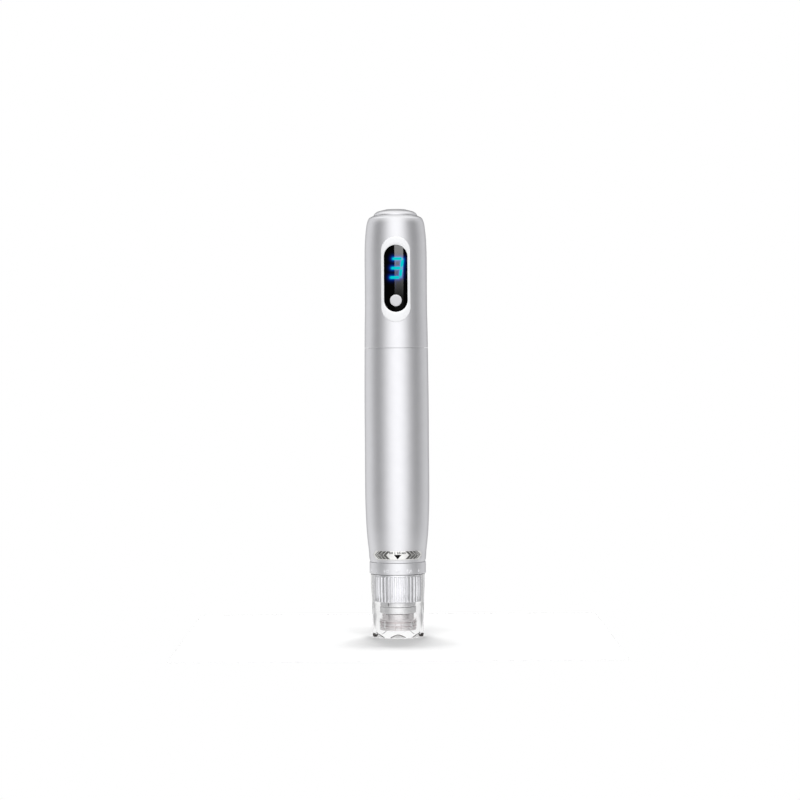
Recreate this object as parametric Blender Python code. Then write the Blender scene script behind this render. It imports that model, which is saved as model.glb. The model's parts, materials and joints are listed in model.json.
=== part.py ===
"""Cordless microneedling pen with a turning depth ring, a needle cartridge and a clear cap.

Metres, +Z up along the pen. The origin is the centre of the cap's feet, and the display faces -Y.
"""

import math

import bmesh
import bpy

# Clearances

CLEARANCE = 0.0003
SLIDE_CLEARANCE = 0.00015
OVERRUN = 0.001
SHORT_OVERRUN = 0.00025

# Facets of round pieces, and the least angle of a sharp edge

OUTER_SEGMENTS = 40
INNER_SEGMENTS = 24
SMALL_SEGMENTS = 12
TINY_SEGMENTS = 6
SMOOTH_ANGLE = math.radians(35)
PHASE_TOLERANCE = 1e-6

# Motion

MAX_DEPTH = 0.0025
REST_DEPTH = 0.0005
STROKE = 0.0025
RING_TRAVEL = math.radians(240)
BAYONET_TURN = math.radians(45)
BUTTON_TRAVEL = 0.0004

# Outer shells: outlines run up the pen, as shares of each shell's length and of the body's radius

BODY_RADIUS = 0.0120
BARREL_LENGTH = 0.0797
HEAD_LENGTH = 0.0493
PARTING_GAP = 0.0003
MOUTH_GAP = 0.0005
MOUTH_WALL = 0.0010
BARREL_WALL = 0.00125
BARREL_OUTLINE_SHARES = [
    (0.0, 0.858),
    (0.014, 0.882),
    (0.051, 0.900),
    (0.108, 0.942),
    (0.173, 0.973),
    (0.305, 1.0),
    (0.762, 1.0),
    (1.0, 0.9875),
]
HEAD_OUTLINE_SHARES = [
    (0.0, 0.9875),
    (0.148, 0.980),
    (0.258, 0.970),
    (0.359, 0.967),
    (0.684, 0.967),
    (0.785, 0.9575),
    (0.840, 0.944),
    (0.886, 0.925),
    (0.931, 0.901),
    (0.960, 0.868),
    (0.984, 0.810),
    (1.0, 0.683),
]
HEAD_WAIST = 3
HEAD_BEND = 4
DISPLAY_OUTLINE_POINTS = 8
HEAD_TAPER_WALL = 0.0013
ROOF_THICKNESS = 0.0041

# Tail cap, charging socket and charge board

TAIL_CAP_HEIGHT = 0.0021
TAIL_RADIUS_SHARE = 0.678
TAIL_OUTLINE_SHARES = [(0.0, 1.0), (0.33, 0.975), (0.6, 0.90), (0.78, 0.74), (1.0, 0.64)]
TAIL_TOP_THICKNESS = 0.0012
COLLAR_WALL = 0.0012
TAIL_STEM_WALL = 0.0017
TAIL_STEM_LENGTH = 0.0060
TAIL_GROOVE_DEPTH = 0.00075
TAIL_GROOVE_HEIGHT = 0.0014
TAIL_GROOVE_RISE = 0.0010
TAIL_RING_RADIUS = 0.0004
SOCKET_RADIUS = 0.0031
SOCKET_LENGTH = 0.0069
SOCKET_BORE = 0.00185
SOCKET_FLOOR = 0.0012
SOCKET_PIN_RADIUS = 0.0005
SOCKET_PIN_INSET = 0.0010
BOARD_THICKNESS = 0.0010

# Display: all three outlines share one centre line

BEZEL_WIDTH = 0.0109
BEZEL_HEIGHT = 0.0317
BEZEL_FROM_TOP = 0.00785
BEZEL_PROUD = 0.0002
BEZEL_THICKNESS = 0.0012
WINDOW_WIDTH = 0.0086
WINDOW_HEIGHT = 0.0249
WINDOW_RECESS = 0.00015
WINDOW_THICKNESS = 0.0012
STADIUM_STEPS = 8
BUTTON_RADIUS = 0.0024
BUTTON_PROUD = 0.00015
BUTTON_FLANGE = 0.0006
BUTTON_FLANGE_THICKNESS = 0.0005
PLUNGER_RADIUS = 0.0014
PLUNGER_LENGTH = 0.0012
SWITCH_WIDTH = 0.0060
SWITCH_DEPTH = 0.0026
DIGIT_WIDTH = 0.0076
DIGIT_HEIGHT = 0.0127
DIGIT_FROM_WINDOW_TOP = 0.0087
MAIN_BOARD_WIDTH = 0.0140
CHIP_WIDTH = 0.0050
CHIP_HEIGHT = 0.0032
CHIP_THICKNESS = 0.0010
CHIP_FROM_TOP = 0.0035
CHASSIS_RISE = 0.0030
CHASSIS_WALL = 0.0012
BOARD_SCREW_RADIUS = 0.0008
BOARD_SCREW_HEAD = 0.0014
BOARD_SCREW_HEAD_HEIGHT = 0.0008
BOARD_SCREW_INSET = 0.0017

# Battery, its holder, the coupler and the leads

LEAD_ROOM = 0.0025
COUPLER_WALL = 0.0009
COUPLER_LENGTH = 0.0100
HOLDER_WALL = 0.0006
HOLDER_FLOOR = 0.0010
HOLDER_LIP = 0.0026
CHANNEL_HALF_WIDTH = 0.0026
CELL_BUTTON_RADIUS = 0.0030
CELL_BUTTON_HEIGHT = 0.0006
LEAD_RADIUS = 0.00035
LEAD_SPACING = 0.0018
LEAD_SAMPLES = 3
LEAD_RISE_SHARE = 0.45
LEAD_BEND_SHARE = 0.25
LEAD_TURN_SHARE = 0.88
LEAD_ENTRY_SHARE = 0.8
TERMINAL_WIDTH = 0.0012
TERMINAL_HEIGHT = 0.0015
TERMINAL_OFFSET = 0.0045

# Cartridge, from the feet up

TIP_INSET = 0.0030
NEEDLE_HEAD_HEIGHT = 0.0055
NEEDLE_HEAD_NECK = 0.0019
NECK_STEP = 0.0010
END_WALL = 0.0008
FLANGE_STEP = 0.0001
FLANGE_HEIGHT = 0.0022
COLLAR_STEP = 0.0003
COLLAR_HEIGHT = 0.0016
COLLAR_RIM = 0.0016
GRIP_LENGTH = 0.0102
GRIP_FLOOR = 0.0013
GRIP_WALL = 0.0015
RIB_COUNT = 36
RIB_DEPTH = 0.0004
RIB_CREST_SHARE = 0.42
RIB_ROOT_SHARE = 0.28
CAP_FIT = 0.0002
HEAD_GAP = 0.00175
PLATE_RADIUS = 0.0030
PLATE_THICKNESS = 0.0010
PLATE_ROOM = 0.0004
NEEDLE_RADIUS = 0.00016
NEEDLE_ROOT = 0.0003
OUTER_NEEDLES = 8
OUTER_NEEDLE_RING = 0.0022
INNER_NEEDLES = 4
INNER_NEEDLE_RING = 0.0010
NEEDLE_SEGMENTS = 4
MEMBRANE_THICKNESS = 0.0008
STEM_RADIUS = 0.0012
STEM_HEAD_RADIUS = 0.0026
STEM_HEAD_HEIGHT = 0.0019
STEM_ROOM = 0.0006

# Protective cap: outline runs up, as shares of its height and radius

CAP_RADIUS = 0.0101
CAP_WALL = 0.0011
CAP_LOWER_WALL = 0.00092
CAP_RIM = 0.0001
CAP_OUTLINE_SHARES = [
    (0.0, 0.948),
    (0.213, 0.948),
    (0.25, 0.938),
    (0.30, 0.938),
    (0.36, 0.950),
    (0.51, 0.967),
    (0.68, 0.967),
    (0.766, 1.0),
    (1.0, 1.0),
]
CAP_STEP_SHARES = (0.51, 0.56)
LOBES = 7
LOBE_SEGMENTS = 10
LOBE_FLAT_SHARE = 0.2
ARCH_HEIGHT = 0.0012

# Depth ring and nose

RING_GAP = 0.0006
RING_RADIUS = 0.01055
RING_HEIGHT = 0.0037
RING_CHAMFER = 0.00025
SKIRT_LENGTH = 0.0145
SKIRT_WALL = 0.0008
LIP_STEP = 0.00065
LIP_HEIGHT = 0.0037
NOSE_WALL = 0.0008
NOSE_WEB = 0.0015
NOSE_FLANGE = 0.0017
SPIGOT_WALL = 0.0014
LUG_COUNT = 3
LUG_HEIGHT = 0.0007
LUG_LENGTH = 0.0014
LUG_WIDTH = math.radians(18)
LUG_RISE = 0.0021
LUG_PLAY = math.radians(3)
LOCK_RING_HEIGHT = 0.0020
BUSH_LENGTH = 0.0042
SEAL_THICKNESS = 0.0010

# Drive: carriage, motor, cam and rod

ROD_RADIUS = 0.0015
ROD_SEAT = 0.0016
CARRIAGE_WALL = 0.0008
CARRIAGE_ROOM = 0.0012
CARRIAGE_DISC = 0.0015
CARRIAGE_REACH = 0.0040
CUP_GAP = 0.0007
CUP_WALL = 0.0015
CUP_DEPTH = 0.0230
MOTOR_LENGTH = 0.0237
MOTOR_CAP_STEP = 0.0010
MOTOR_CAP_HEIGHT = 0.0009
MOTOR_BOSS_SHARE = 0.31
MOTOR_BOSS_HEIGHT = 0.0010
MOTOR_SCREW_SHANK_SHARE = 0.57
MOTOR_SCREW_HEAD_HEIGHT = 0.0012
MOTOR_SCREW_DEPTH = 0.0020
SHAFT_RADIUS = 0.0010
SHAFT_SEAT = 0.0045
PIN_RADIUS = 0.0008
PIN_FROM_LIP = 0.0023
YOKE_ROOM = 0.0012
YOKE_FLOOR = 0.0018
YOKE_WALL = 0.0010
YOKE_RIM = 0.0015
YOKE_LUG_LENGTH = 0.0016
YOKE_LUG_RISE = 0.0030
FOLLOWER_RADIUS = 0.0007
DRUM_ROOM = 0.0006
DRUM_MARGIN = 0.0019
GROOVE_DEPTH = 0.0012
GROOVE_STEPS = 24
SET_SCREW_RADIUS = 0.0006

# Heights, worked out from the feet up

full_travel = STROKE + MAX_DEPTH - REST_DEPTH
down_travel = MAX_DEPTH - REST_DEPTH
head_neck_top = TIP_INSET + NEEDLE_HEAD_HEIGHT
flange_bottom = head_neck_top + CLEARANCE
flange_top = flange_bottom + FLANGE_HEIGHT
collar_bottom = flange_top + CLEARANCE
collar_top = collar_bottom + COLLAR_HEIGHT
grip_bottom = collar_top + CLEARANCE
grip_top = grip_bottom + GRIP_LENGTH
cap_top = grip_top + CAP_RIM
ring_bottom = cap_top + RING_GAP
ring_top = ring_bottom + RING_HEIGHT
barrel_bottom = ring_top + MOUTH_GAP
barrel_top = barrel_bottom + BARREL_LENGTH
head_bottom = barrel_top + PARTING_GAP
head_top = head_bottom + HEAD_LENGTH
tail_bottom = head_top + CLEARANCE
tail_top = tail_bottom + TAIL_CAP_HEIGHT
lip_bottom = ring_top + SKIRT_LENGTH
lip_top = lip_bottom + LIP_HEIGHT
nose_bottom = grip_top + RING_GAP
spigot_bottom = grip_bottom + GRIP_FLOOR + CLEARANCE
web_top = nose_bottom + NOSE_WEB
bush_bottom = web_top + CLEARANCE
bush_top = bush_bottom + BUSH_LENGTH
seal_bottom = bush_top + CLEARANCE
seal_top = seal_bottom + SEAL_THICKNESS
nose_flange_bottom = lip_top + CLEARANCE
nose_flange_top = nose_flange_bottom + NOSE_FLANGE
lock_ring_bottom = nose_flange_top + CLEARANCE
lock_ring_top = lock_ring_bottom + LOCK_RING_HEIGHT
disc_bottom = lock_ring_top + down_travel + CARRIAGE_ROOM
disc_top = disc_bottom + CARRIAGE_DISC
motor_bottom = disc_top + CLEARANCE
motor_top = motor_bottom + MOTOR_LENGTH
motor_cap_top = motor_top + MOTOR_CAP_HEIGHT
terminal_top = motor_cap_top + TERMINAL_HEIGHT
guide_pin_height = lip_bottom - PIN_FROM_LIP
carriage_bottom = guide_pin_height - CARRIAGE_REACH
yoke_bottom = seal_top + full_travel + YOKE_ROOM
yoke_floor_top = yoke_bottom + YOKE_FLOOR
drum_bottom = yoke_floor_top + DRUM_ROOM
follower_height = drum_bottom + STROKE + DRUM_MARGIN
drum_top = follower_height + DRUM_MARGIN
yoke_top = follower_height + YOKE_RIM
plate_bottom = TIP_INSET + END_WALL + full_travel + PLATE_ROOM
plate_top = plate_bottom + PLATE_THICKNESS
needle_tip = TIP_INSET + STROKE - REST_DEPTH
stem_bottom = plate_top + CLEARANCE
stem_head_bottom = grip_bottom + full_travel + STEM_ROOM
stem_top = stem_head_bottom + STEM_HEAD_HEIGHT
rod_bottom = stem_top + CLEARANCE
rod_top = yoke_bottom + ROD_SEAT
bezel_top = head_top - BEZEL_FROM_TOP
bezel_bottom = bezel_top - BEZEL_HEIGHT
display_middle = bezel_top - BEZEL_HEIGHT / 2
window_top = display_middle + WINDOW_HEIGHT / 2
window_bottom = display_middle - WINDOW_HEIGHT / 2
button_height = window_bottom + WINDOW_WIDTH / 2
digit_middle = window_top - DIGIT_FROM_WINDOW_TOP
tail_underside = tail_top - TAIL_TOP_THICKNESS
socket_top = tail_underside - CLEARANCE
socket_bottom = socket_top - SOCKET_LENGTH
charge_board_top = socket_bottom - CLEARANCE
charge_board_bottom = charge_board_top - BOARD_THICKNESS
chassis_top = charge_board_bottom - CLEARANCE
chassis_bottom = bezel_bottom + CHASSIS_RISE
main_board_top = chassis_top - CLEARANCE
cell_bottom = terminal_top + REST_DEPTH + LEAD_ROOM
cell_top = chassis_bottom - LEAD_ROOM

# Radii, worked out from the outside in

mouth_radius = BODY_RADIUS * BARREL_OUTLINE_SHARES[0][1]
main_bore = BODY_RADIUS * BARREL_OUTLINE_SHARES[-1][1] - BARREL_WALL
ring_bore = mouth_radius - MOUTH_WALL
skirt_radius = ring_bore - CLEARANCE
skirt_bore = skirt_radius - SKIRT_WALL
lip_bore = ring_bore + LIP_STEP
lip_radius = lip_bore - CLEARANCE
nose_radius = skirt_bore - CLEARANCE
nose_bore = nose_radius - NOSE_WALL
carriage_radius = nose_bore - CLEARANCE
carriage_bore = carriage_radius - CARRIAGE_WALL
yoke_radius = carriage_bore - CLEARANCE
yoke_bore = yoke_radius - YOKE_WALL
drum_radius = yoke_bore - CLEARANCE
groove_floor = drum_radius - GROOVE_DEPTH
shaft_hole = SHAFT_RADIUS + CLEARANCE
cup_radius = main_bore - CUP_GAP
cup_bore = cup_radius - CUP_WALL
motor_radius = cup_bore - CLEARANCE
motor_boss_radius = motor_radius * MOTOR_BOSS_SHARE
motor_screw_offset = (carriage_bore + motor_boss_radius) / 2
motor_screw_head = (carriage_bore - motor_boss_radius) / 2 - CLEARANCE
motor_screw_radius = motor_screw_head * MOTOR_SCREW_SHANK_SHARE
coupler_radius = main_bore - CLEARANCE
coupler_bore = coupler_radius - COUPLER_WALL
holder_radius = coupler_bore - CLEARANCE
holder_bore = holder_radius - HOLDER_WALL
cell_radius = holder_bore - CLEARANCE
lead_circle = (cell_radius + coupler_bore) / 2
front_radius = BODY_RADIUS * HEAD_OUTLINE_SHARES[HEAD_WAIST][1]
head_mouth_radius = BODY_RADIUS * HEAD_OUTLINE_SHARES[-1][1]
collar_bore = head_mouth_radius - COLLAR_WALL
tail_radius = BODY_RADIUS * TAIL_RADIUS_SHARE
tail_stem_radius = collar_bore - CLEARANCE
tail_stem_bore = tail_stem_radius - TAIL_STEM_WALL
window_back = front_radius - WINDOW_RECESS - WINDOW_THICKNESS
cap_bore = CAP_RADIUS - CAP_WALL
cap_lower_bore = CAP_RADIUS * CAP_OUTLINE_SHARES[0][1] - CAP_LOWER_WALL
grip_radius = cap_bore - CAP_FIT
rib_valley = grip_radius - RIB_DEPTH
grip_bore = rib_valley - GRIP_WALL
grip_hole = STEM_HEAD_RADIUS + STEM_ROOM
spigot_radius = grip_bore - CLEARANCE
spigot_bore = spigot_radius - SPIGOT_WALL
lug_radius = spigot_radius + LUG_HEIGHT
needle_head_radius = cap_lower_bore - HEAD_GAP
needle_head_bore = PLATE_RADIUS + PLATE_ROOM
nozzle_radius = OUTER_NEEDLE_RING + NEEDLE_RADIUS + PLATE_ROOM
collar_radius = needle_head_radius - COLLAR_STEP

# Depths from the axis to the front, worked out from the window inwards

button_face = front_radius + BUTTON_PROUD
button_flange_radius = BUTTON_RADIUS + BUTTON_FLANGE
button_flange_front = math.sqrt(window_back**2 - button_flange_radius**2) - CLEARANCE
button_back = button_flange_front - BUTTON_FLANGE_THICKNESS
plunger_front = button_back - CLEARANCE
plunger_back = plunger_front - PLUNGER_LENGTH
switch_front = plunger_front - BUTTON_TRAVEL - SLIDE_CLEARANCE
switch_back = switch_front - SWITCH_DEPTH
main_board_front = switch_back - CLEARANCE
main_board_back = main_board_front - BOARD_THICKNESS
chassis_front = main_board_back - CLEARANCE
chassis_inner_front = chassis_front - CHASSIS_WALL
digit_front = math.sqrt(window_back**2 - (DIGIT_WIDTH / 2) ** 2) - CLEARANCE
digit_back = main_board_front + CLEARANCE


# Meshes


def ring_points(radius, segments, height=0.0, start=0.0):
    """Points evenly round a circle about Z."""
    return [
        (
            radius * math.cos(start + math.tau * i / segments),
            radius * math.sin(start + math.tau * i / segments),
            height,
        )
        for i in range(segments)
    ]


def turned(outline, segments, start=0.0):
    """A closed outline of (radius, height) points revolved about Z."""
    bm = bmesh.new()
    rings = []
    for radius, height in outline:
        if radius == 0:
            rings.append([bm.verts.new((0, 0, height))])
        else:
            rings.append([bm.verts.new(p) for p in ring_points(radius, segments, height, start)])
    for ring, following in zip(rings, rings[1:] + rings[:1]):
        for i in range(segments):
            corners = [
                ring[i % len(ring)],
                ring[(i + 1) % len(ring)],
                following[(i + 1) % len(following)],
                following[i % len(following)],
            ]
            corners = list(dict.fromkeys(corners))
            if len(corners) > 2:
                bm.faces.new(corners)
    bmesh.ops.recalc_face_normals(bm, faces=bm.faces)
    return bm


def add_prism(bm, outline, low, high, axis="Z"):
    """Adds an outline, given across the axis, extruded along it from low to high."""
    ends = []
    for level in (low, high):
        if axis == "Z":
            ends.append([bm.verts.new((a, b, level)) for a, b in outline])
        elif axis == "Y":
            ends.append([bm.verts.new((a, level, b)) for a, b in outline])
        else:
            ends.append([bm.verts.new((level, a, b)) for a, b in outline])
    count = len(outline)
    bm.faces.new(ends[0])
    bm.faces.new(ends[1])
    for i in range(count):
        j = (i + 1) % count
        bm.faces.new((ends[0][i], ends[0][j], ends[1][j], ends[1][i]))
    bmesh.ops.recalc_face_normals(bm, faces=bm.faces)
    return bm


def prism(outline, low, high, axis="Z"):
    return add_prism(bmesh.new(), outline, low, high, axis)


def rectangle(low_a, high_a, low_b, high_b):
    return [(low_a, low_b), (high_a, low_b), (high_a, high_b), (low_a, high_b)]


def circle(radius, segments, centre=(0.0, 0.0)):
    return [(centre[0] + x, centre[1] + y) for x, y, _ in ring_points(radius, segments)]


def stadium(width, height, middle):
    """An upright stadium in X and Z, centred on x = 0 and on the middle height."""
    radius = width / 2
    run = height / 2 - radius
    points = []
    for side in (1, -1):
        for i in range(STADIUM_STEPS + 1):
            angle = math.pi * i / STADIUM_STEPS
            points.append(
                (side * radius * math.cos(angle), middle + side * (run + radius * math.sin(angle)))
            )
    return points


def add_band(bm, inner, outer, path, half_height):
    """Adds a band between two radii along (azimuth, height) points, closed after a full turn."""
    closed = math.isclose(path[-1][0] - path[0][0], math.tau)
    steps = path[:-1] if closed else path
    sections = []
    for azimuth, height in steps:
        corners = [
            (inner, height - half_height),
            (outer, height - half_height),
            (outer, height + half_height),
            (inner, height + half_height),
        ]
        sections.append(
            [bm.verts.new((r * math.cos(azimuth), r * math.sin(azimuth), z)) for r, z in corners]
        )
    following = sections[1:] + (sections[:1] if closed else [])
    for section, after in zip(sections, following):
        for i in range(4):
            j = (i + 1) % 4
            bm.faces.new((section[i], section[j], after[j], after[i]))
    if not closed:
        bm.faces.new(sections[0])
        bm.faces.new(sections[-1])
    bmesh.ops.recalc_face_normals(bm, faces=bm.faces)
    return bm


def sectors(inner, outer, low, high, start, width, count):
    """Equal blocks between two radii, evenly round the axis."""
    bm = bmesh.new()
    middle = (low + high) / 2
    for i in range(count):
        first = start + math.tau * i / count
        path = [(first + width * step / TINY_SEGMENTS, middle) for step in range(TINY_SEGMENTS + 1)]
        add_band(bm, inner, outer, path, (high - low) / 2)
    return bm


# Objects and materials

SATIN_SILVER = ((0.60, 0.60, 0.62), 0.34, 0.85)
BRIGHT_SILVER = ((0.62, 0.62, 0.64), 0.25, 0.9)
STEEL = ((0.45, 0.45, 0.46), 0.3, 1.0)
WHITE_PLASTIC = ((0.86, 0.87, 0.88), 0.3, 0.0)
GREY_PLASTIC = ((0.55, 0.55, 0.57), 0.45, 0.2)
BLACK_PLASTIC = ((0.02, 0.02, 0.02), 0.45, 0.0)
BLACK_GLOSS = ((0.004, 0.004, 0.004), 0.08, 0.0)
NATURAL_PLASTIC = ((0.80, 0.78, 0.70), 0.4, 0.0)
CLEAR_PLASTIC = ((0.90, 0.92, 0.93), 0.05, 0.0)
RUBBER = ((0.03, 0.03, 0.03), 0.8, 0.0)
SILICONE = ((0.75, 0.75, 0.78), 0.6, 0.0)
BRASS = ((0.60, 0.42, 0.14), 0.3, 1.0)
GREEN_BOARD = ((0.02, 0.16, 0.06), 0.5, 0.0)
BLUE_WRAP = ((0.04, 0.12, 0.45), 0.4, 0.0)
RED_WIRE = ((0.45, 0.02, 0.02), 0.5, 0.0)
BLACK_WIRE = ((0.015, 0.015, 0.015), 0.5, 0.0)


def material(name, finish):
    """A Principled BSDF from (colour, roughness, metallic)."""
    colour, roughness, metallic = finish
    made = bpy.data.materials.new(name)
    made.use_nodes = True
    shader = made.node_tree.nodes["Principled BSDF"]
    shader.inputs["Base Color"].default_value = (*colour, 1.0)
    shader.inputs["Roughness"].default_value = roughness
    shader.inputs["Metallic"].default_value = metallic
    made.diffuse_color = (*colour, 1.0)
    return made


def mesh_object(name, bm):
    mesh = bpy.data.meshes.new(name)
    bm.to_mesh(mesh)
    bm.free()
    made = bpy.data.objects.new(name, mesh)
    bpy.context.scene.collection.objects.link(made)
    return made


def piece(name, bm, body, finish, place=(0.0, 0.0, 0.0)):
    """A named sub-part, parented to its body's empty."""
    made = mesh_object(name, bm)
    made.location = place
    made.parent = body
    made.data.materials.append(material(name, finish))
    made.data.shade_smooth()
    made.data.set_sharp_from_angle(angle=SMOOTH_ANGLE)
    return made


def change(target, bm, operation="DIFFERENCE"):
    """A Boolean with a hidden helper. The helper's mesh is in world space."""
    helper = mesh_object(f"{target.name}_helper", bm)
    helper.hide_render = True
    helper.display_type = "WIRE"
    modifier = target.modifiers.new(operation.title(), "BOOLEAN")
    modifier.operation = operation
    modifier.solver = "EXACT"
    modifier.object = helper


def body(name, parent=None):
    """An empty that carries the pieces of one moving body. Its origin is on the pen's axis."""
    made = bpy.data.objects.new(name, None)
    made.empty_display_size = BODY_RADIUS
    bpy.context.scene.collection.objects.link(made)
    made.parent = parent
    return made


def outline_of(shares, length, radius, bottom, offset=0.0):
    """(radius, height) points from (length, radius) shares."""
    return [(radius * across + offset, bottom + length * along) for along, across in shares]


# Outer shells


def barrel(handle):
    outside = outline_of(BARREL_OUTLINE_SHARES, BARREL_LENGTH, BODY_RADIUS, barrel_bottom)
    inside = [
        (main_bore, barrel_top),
        (main_bore, lip_top),
        (lip_bore, lip_top),
        (lip_bore, lip_bottom - CLEARANCE),
        (ring_bore, lip_bottom - CLEARANCE),
        (ring_bore, barrel_bottom),
    ]
    piece("barrel", turned(outside + inside, OUTER_SEGMENTS), handle, SATIN_SILVER)


def head_housing(handle):
    outside = outline_of(HEAD_OUTLINE_SHARES, HEAD_LENGTH, BODY_RADIUS, head_bottom)
    bend_height = head_bottom + HEAD_LENGTH * HEAD_OUTLINE_SHARES[HEAD_BEND][0]
    roof = head_top - ROOF_THICKNESS
    roof_radius = BODY_RADIUS * HEAD_OUTLINE_SHARES[DISPLAY_OUTLINE_POINTS][1] - HEAD_TAPER_WALL
    inside = [
        (collar_bore, head_top),
        (collar_bore, roof),
        (roof_radius, roof),
        (main_bore, bend_height),
        (main_bore, head_bottom),
    ]
    shell = piece("head_housing", turned(outside + inside, OUTER_SEGMENTS), handle, SATIN_SILVER)
    opening = stadium(BEZEL_WIDTH + 2 * CLEARANCE, BEZEL_HEIGHT + 2 * CLEARANCE, display_middle)
    change(shell, prism(opening, -(BODY_RADIUS + OVERRUN), 0, "Y"))


def coupler_sleeve(handle):
    middle = (barrel_top + head_bottom) / 2
    low = middle - COUPLER_LENGTH / 2
    high = middle + COUPLER_LENGTH / 2
    wall = [(coupler_bore, low), (coupler_radius, low), (coupler_radius, high), (coupler_bore, high)]
    piece("coupler_sleeve", turned(wall, INNER_SEGMENTS), handle, BRIGHT_SILVER)


# Tail


def tail_cap(handle):
    dome = outline_of(TAIL_OUTLINE_SHARES, TAIL_CAP_HEIGHT, tail_radius, tail_bottom)
    stem_bottom_height = tail_bottom - TAIL_STEM_LENGTH
    groove_bottom = head_top - ROOF_THICKNESS + TAIL_GROOVE_RISE
    groove_top = groove_bottom + TAIL_GROOVE_HEIGHT
    groove_radius = tail_stem_radius - TAIL_GROOVE_DEPTH
    rest = [
        (SOCKET_BORE, tail_top),
        (SOCKET_BORE, tail_underside),
        (tail_stem_bore, tail_underside),
        (tail_stem_bore, stem_bottom_height),
        (tail_stem_radius, stem_bottom_height),
        (tail_stem_radius, groove_bottom),
        (groove_radius, groove_bottom),
        (groove_radius, groove_top),
        (tail_stem_radius, groove_top),
        (tail_stem_radius, tail_bottom),
    ]
    piece("tail_cap", turned(dome + rest, INNER_SEGMENTS), handle, SATIN_SILVER)
    ring_circle = groove_radius + SLIDE_CLEARANCE + TAIL_RING_RADIUS
    section = [
        (ring_circle + x, (groove_bottom + groove_top) / 2 + y)
        for x, y in circle(TAIL_RING_RADIUS, TINY_SEGMENTS)
    ]
    piece("tail_o_ring", turned(section, INNER_SEGMENTS), handle, RUBBER)


def charging(handle):
    outline = [
        (0, socket_bottom),
        (SOCKET_RADIUS, socket_bottom),
        (SOCKET_RADIUS, socket_top),
        (SOCKET_BORE, socket_top),
        (SOCKET_BORE, socket_bottom + SOCKET_FLOOR),
        (SOCKET_PIN_RADIUS, socket_bottom + SOCKET_FLOOR),
        (SOCKET_PIN_RADIUS, socket_top - SOCKET_PIN_INSET),
        (0, socket_top - SOCKET_PIN_INSET),
    ]
    piece("charging_socket", turned(outline, SMALL_SEGMENTS), handle, BLACK_PLASTIC)
    disc = circle(holder_radius, INNER_SEGMENTS)
    piece("charge_board", prism(disc, charge_board_bottom, charge_board_top), handle, GREEN_BOARD)


# Display, button and main board


def display_shell(offset, back):
    """A ring under the head's surface, as high as the display's part of the head."""
    shares = HEAD_OUTLINE_SHARES[:DISPLAY_OUTLINE_POINTS]
    outside = outline_of(shares, HEAD_LENGTH, BODY_RADIUS, head_bottom, offset)
    inside = [(back, outside[-1][1]), (back, outside[0][1])]
    return turned(outside + inside, OUTER_SEGMENTS)


def display(handle):
    front = -(BODY_RADIUS + OVERRUN)
    bezel = piece(
        "display_bezel",
        display_shell(BEZEL_PROUD, front_radius - BEZEL_THICKNESS),
        handle,
        WHITE_PLASTIC,
    )
    change(bezel, prism(stadium(BEZEL_WIDTH, BEZEL_HEIGHT, display_middle), front, 0, "Y"), "INTERSECT")
    change(bezel, prism(stadium(WINDOW_WIDTH, WINDOW_HEIGHT, display_middle), front, 0, "Y"))

    glass = stadium(WINDOW_WIDTH - 2 * CLEARANCE, WINDOW_HEIGHT - 2 * CLEARANCE, display_middle)
    window = piece("display_window", display_shell(-WINDOW_RECESS, window_back), handle, BLACK_GLOSS)
    change(window, prism(glass, front, 0, "Y"), "INTERSECT")
    hole = circle(BUTTON_RADIUS + CLEARANCE, INNER_SEGMENTS, (0, button_height))
    change(window, prism(hole, front, 0, "Y"))

    face = rectangle(
        -DIGIT_WIDTH / 2,
        DIGIT_WIDTH / 2,
        digit_middle - DIGIT_HEIGHT / 2,
        digit_middle + DIGIT_HEIGHT / 2,
    )
    piece("digit_display", prism(face, -digit_front, -digit_back, "Y"), handle, BLACK_PLASTIC)


def main_board(handle):
    half = MAIN_BOARD_WIDTH / 2
    outline = rectangle(-half, half, chassis_bottom, main_board_top)
    board = piece(
        "main_board",
        prism(outline, -main_board_front, -main_board_back, "Y"),
        handle,
        GREEN_BOARD,
    )
    chip_face = rectangle(
        -CHIP_WIDTH / 2,
        CHIP_WIDTH / 2,
        main_board_top - CHIP_FROM_TOP - CHIP_HEIGHT / 2,
        main_board_top - CHIP_FROM_TOP + CHIP_HEIGHT / 2,
    )
    chip_back = -(main_board_front + CLEARANCE)
    chip = prism(chip_face, chip_back - CHIP_THICKNESS, chip_back, "Y")
    piece("control_chip", chip, handle, BLACK_PLASTIC)

    tube = piece("chassis", chassis_tube(), handle, NATURAL_PLASTIC)
    across = half - BOARD_SCREW_INSET
    heights = (chassis_bottom + BOARD_SCREW_INSET, main_board_top - BOARD_SCREW_INSET)
    places = [(side * across, height) for height in heights for side in (-1, 1)]
    holes = bmesh.new()
    for place in places:
        hole = circle(BOARD_SCREW_RADIUS + CLEARANCE, SMALL_SEGMENTS, place)
        add_prism(holes, hole, -(main_board_front + OVERRUN), -(main_board_back - SHORT_OVERRUN), "Y")
    change(board, holes)
    seats = bmesh.new()
    for place in places:
        hole = circle(BOARD_SCREW_RADIUS + CLEARANCE, SMALL_SEGMENTS, place)
        add_prism(seats, hole, -(chassis_front + SHORT_OVERRUN), -(chassis_inner_front - OVERRUN), "Y")
    change(tube, seats)
    for number, place in enumerate(places, start=1):
        board_screw(f"board_screw_{number}", handle, place)


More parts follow.
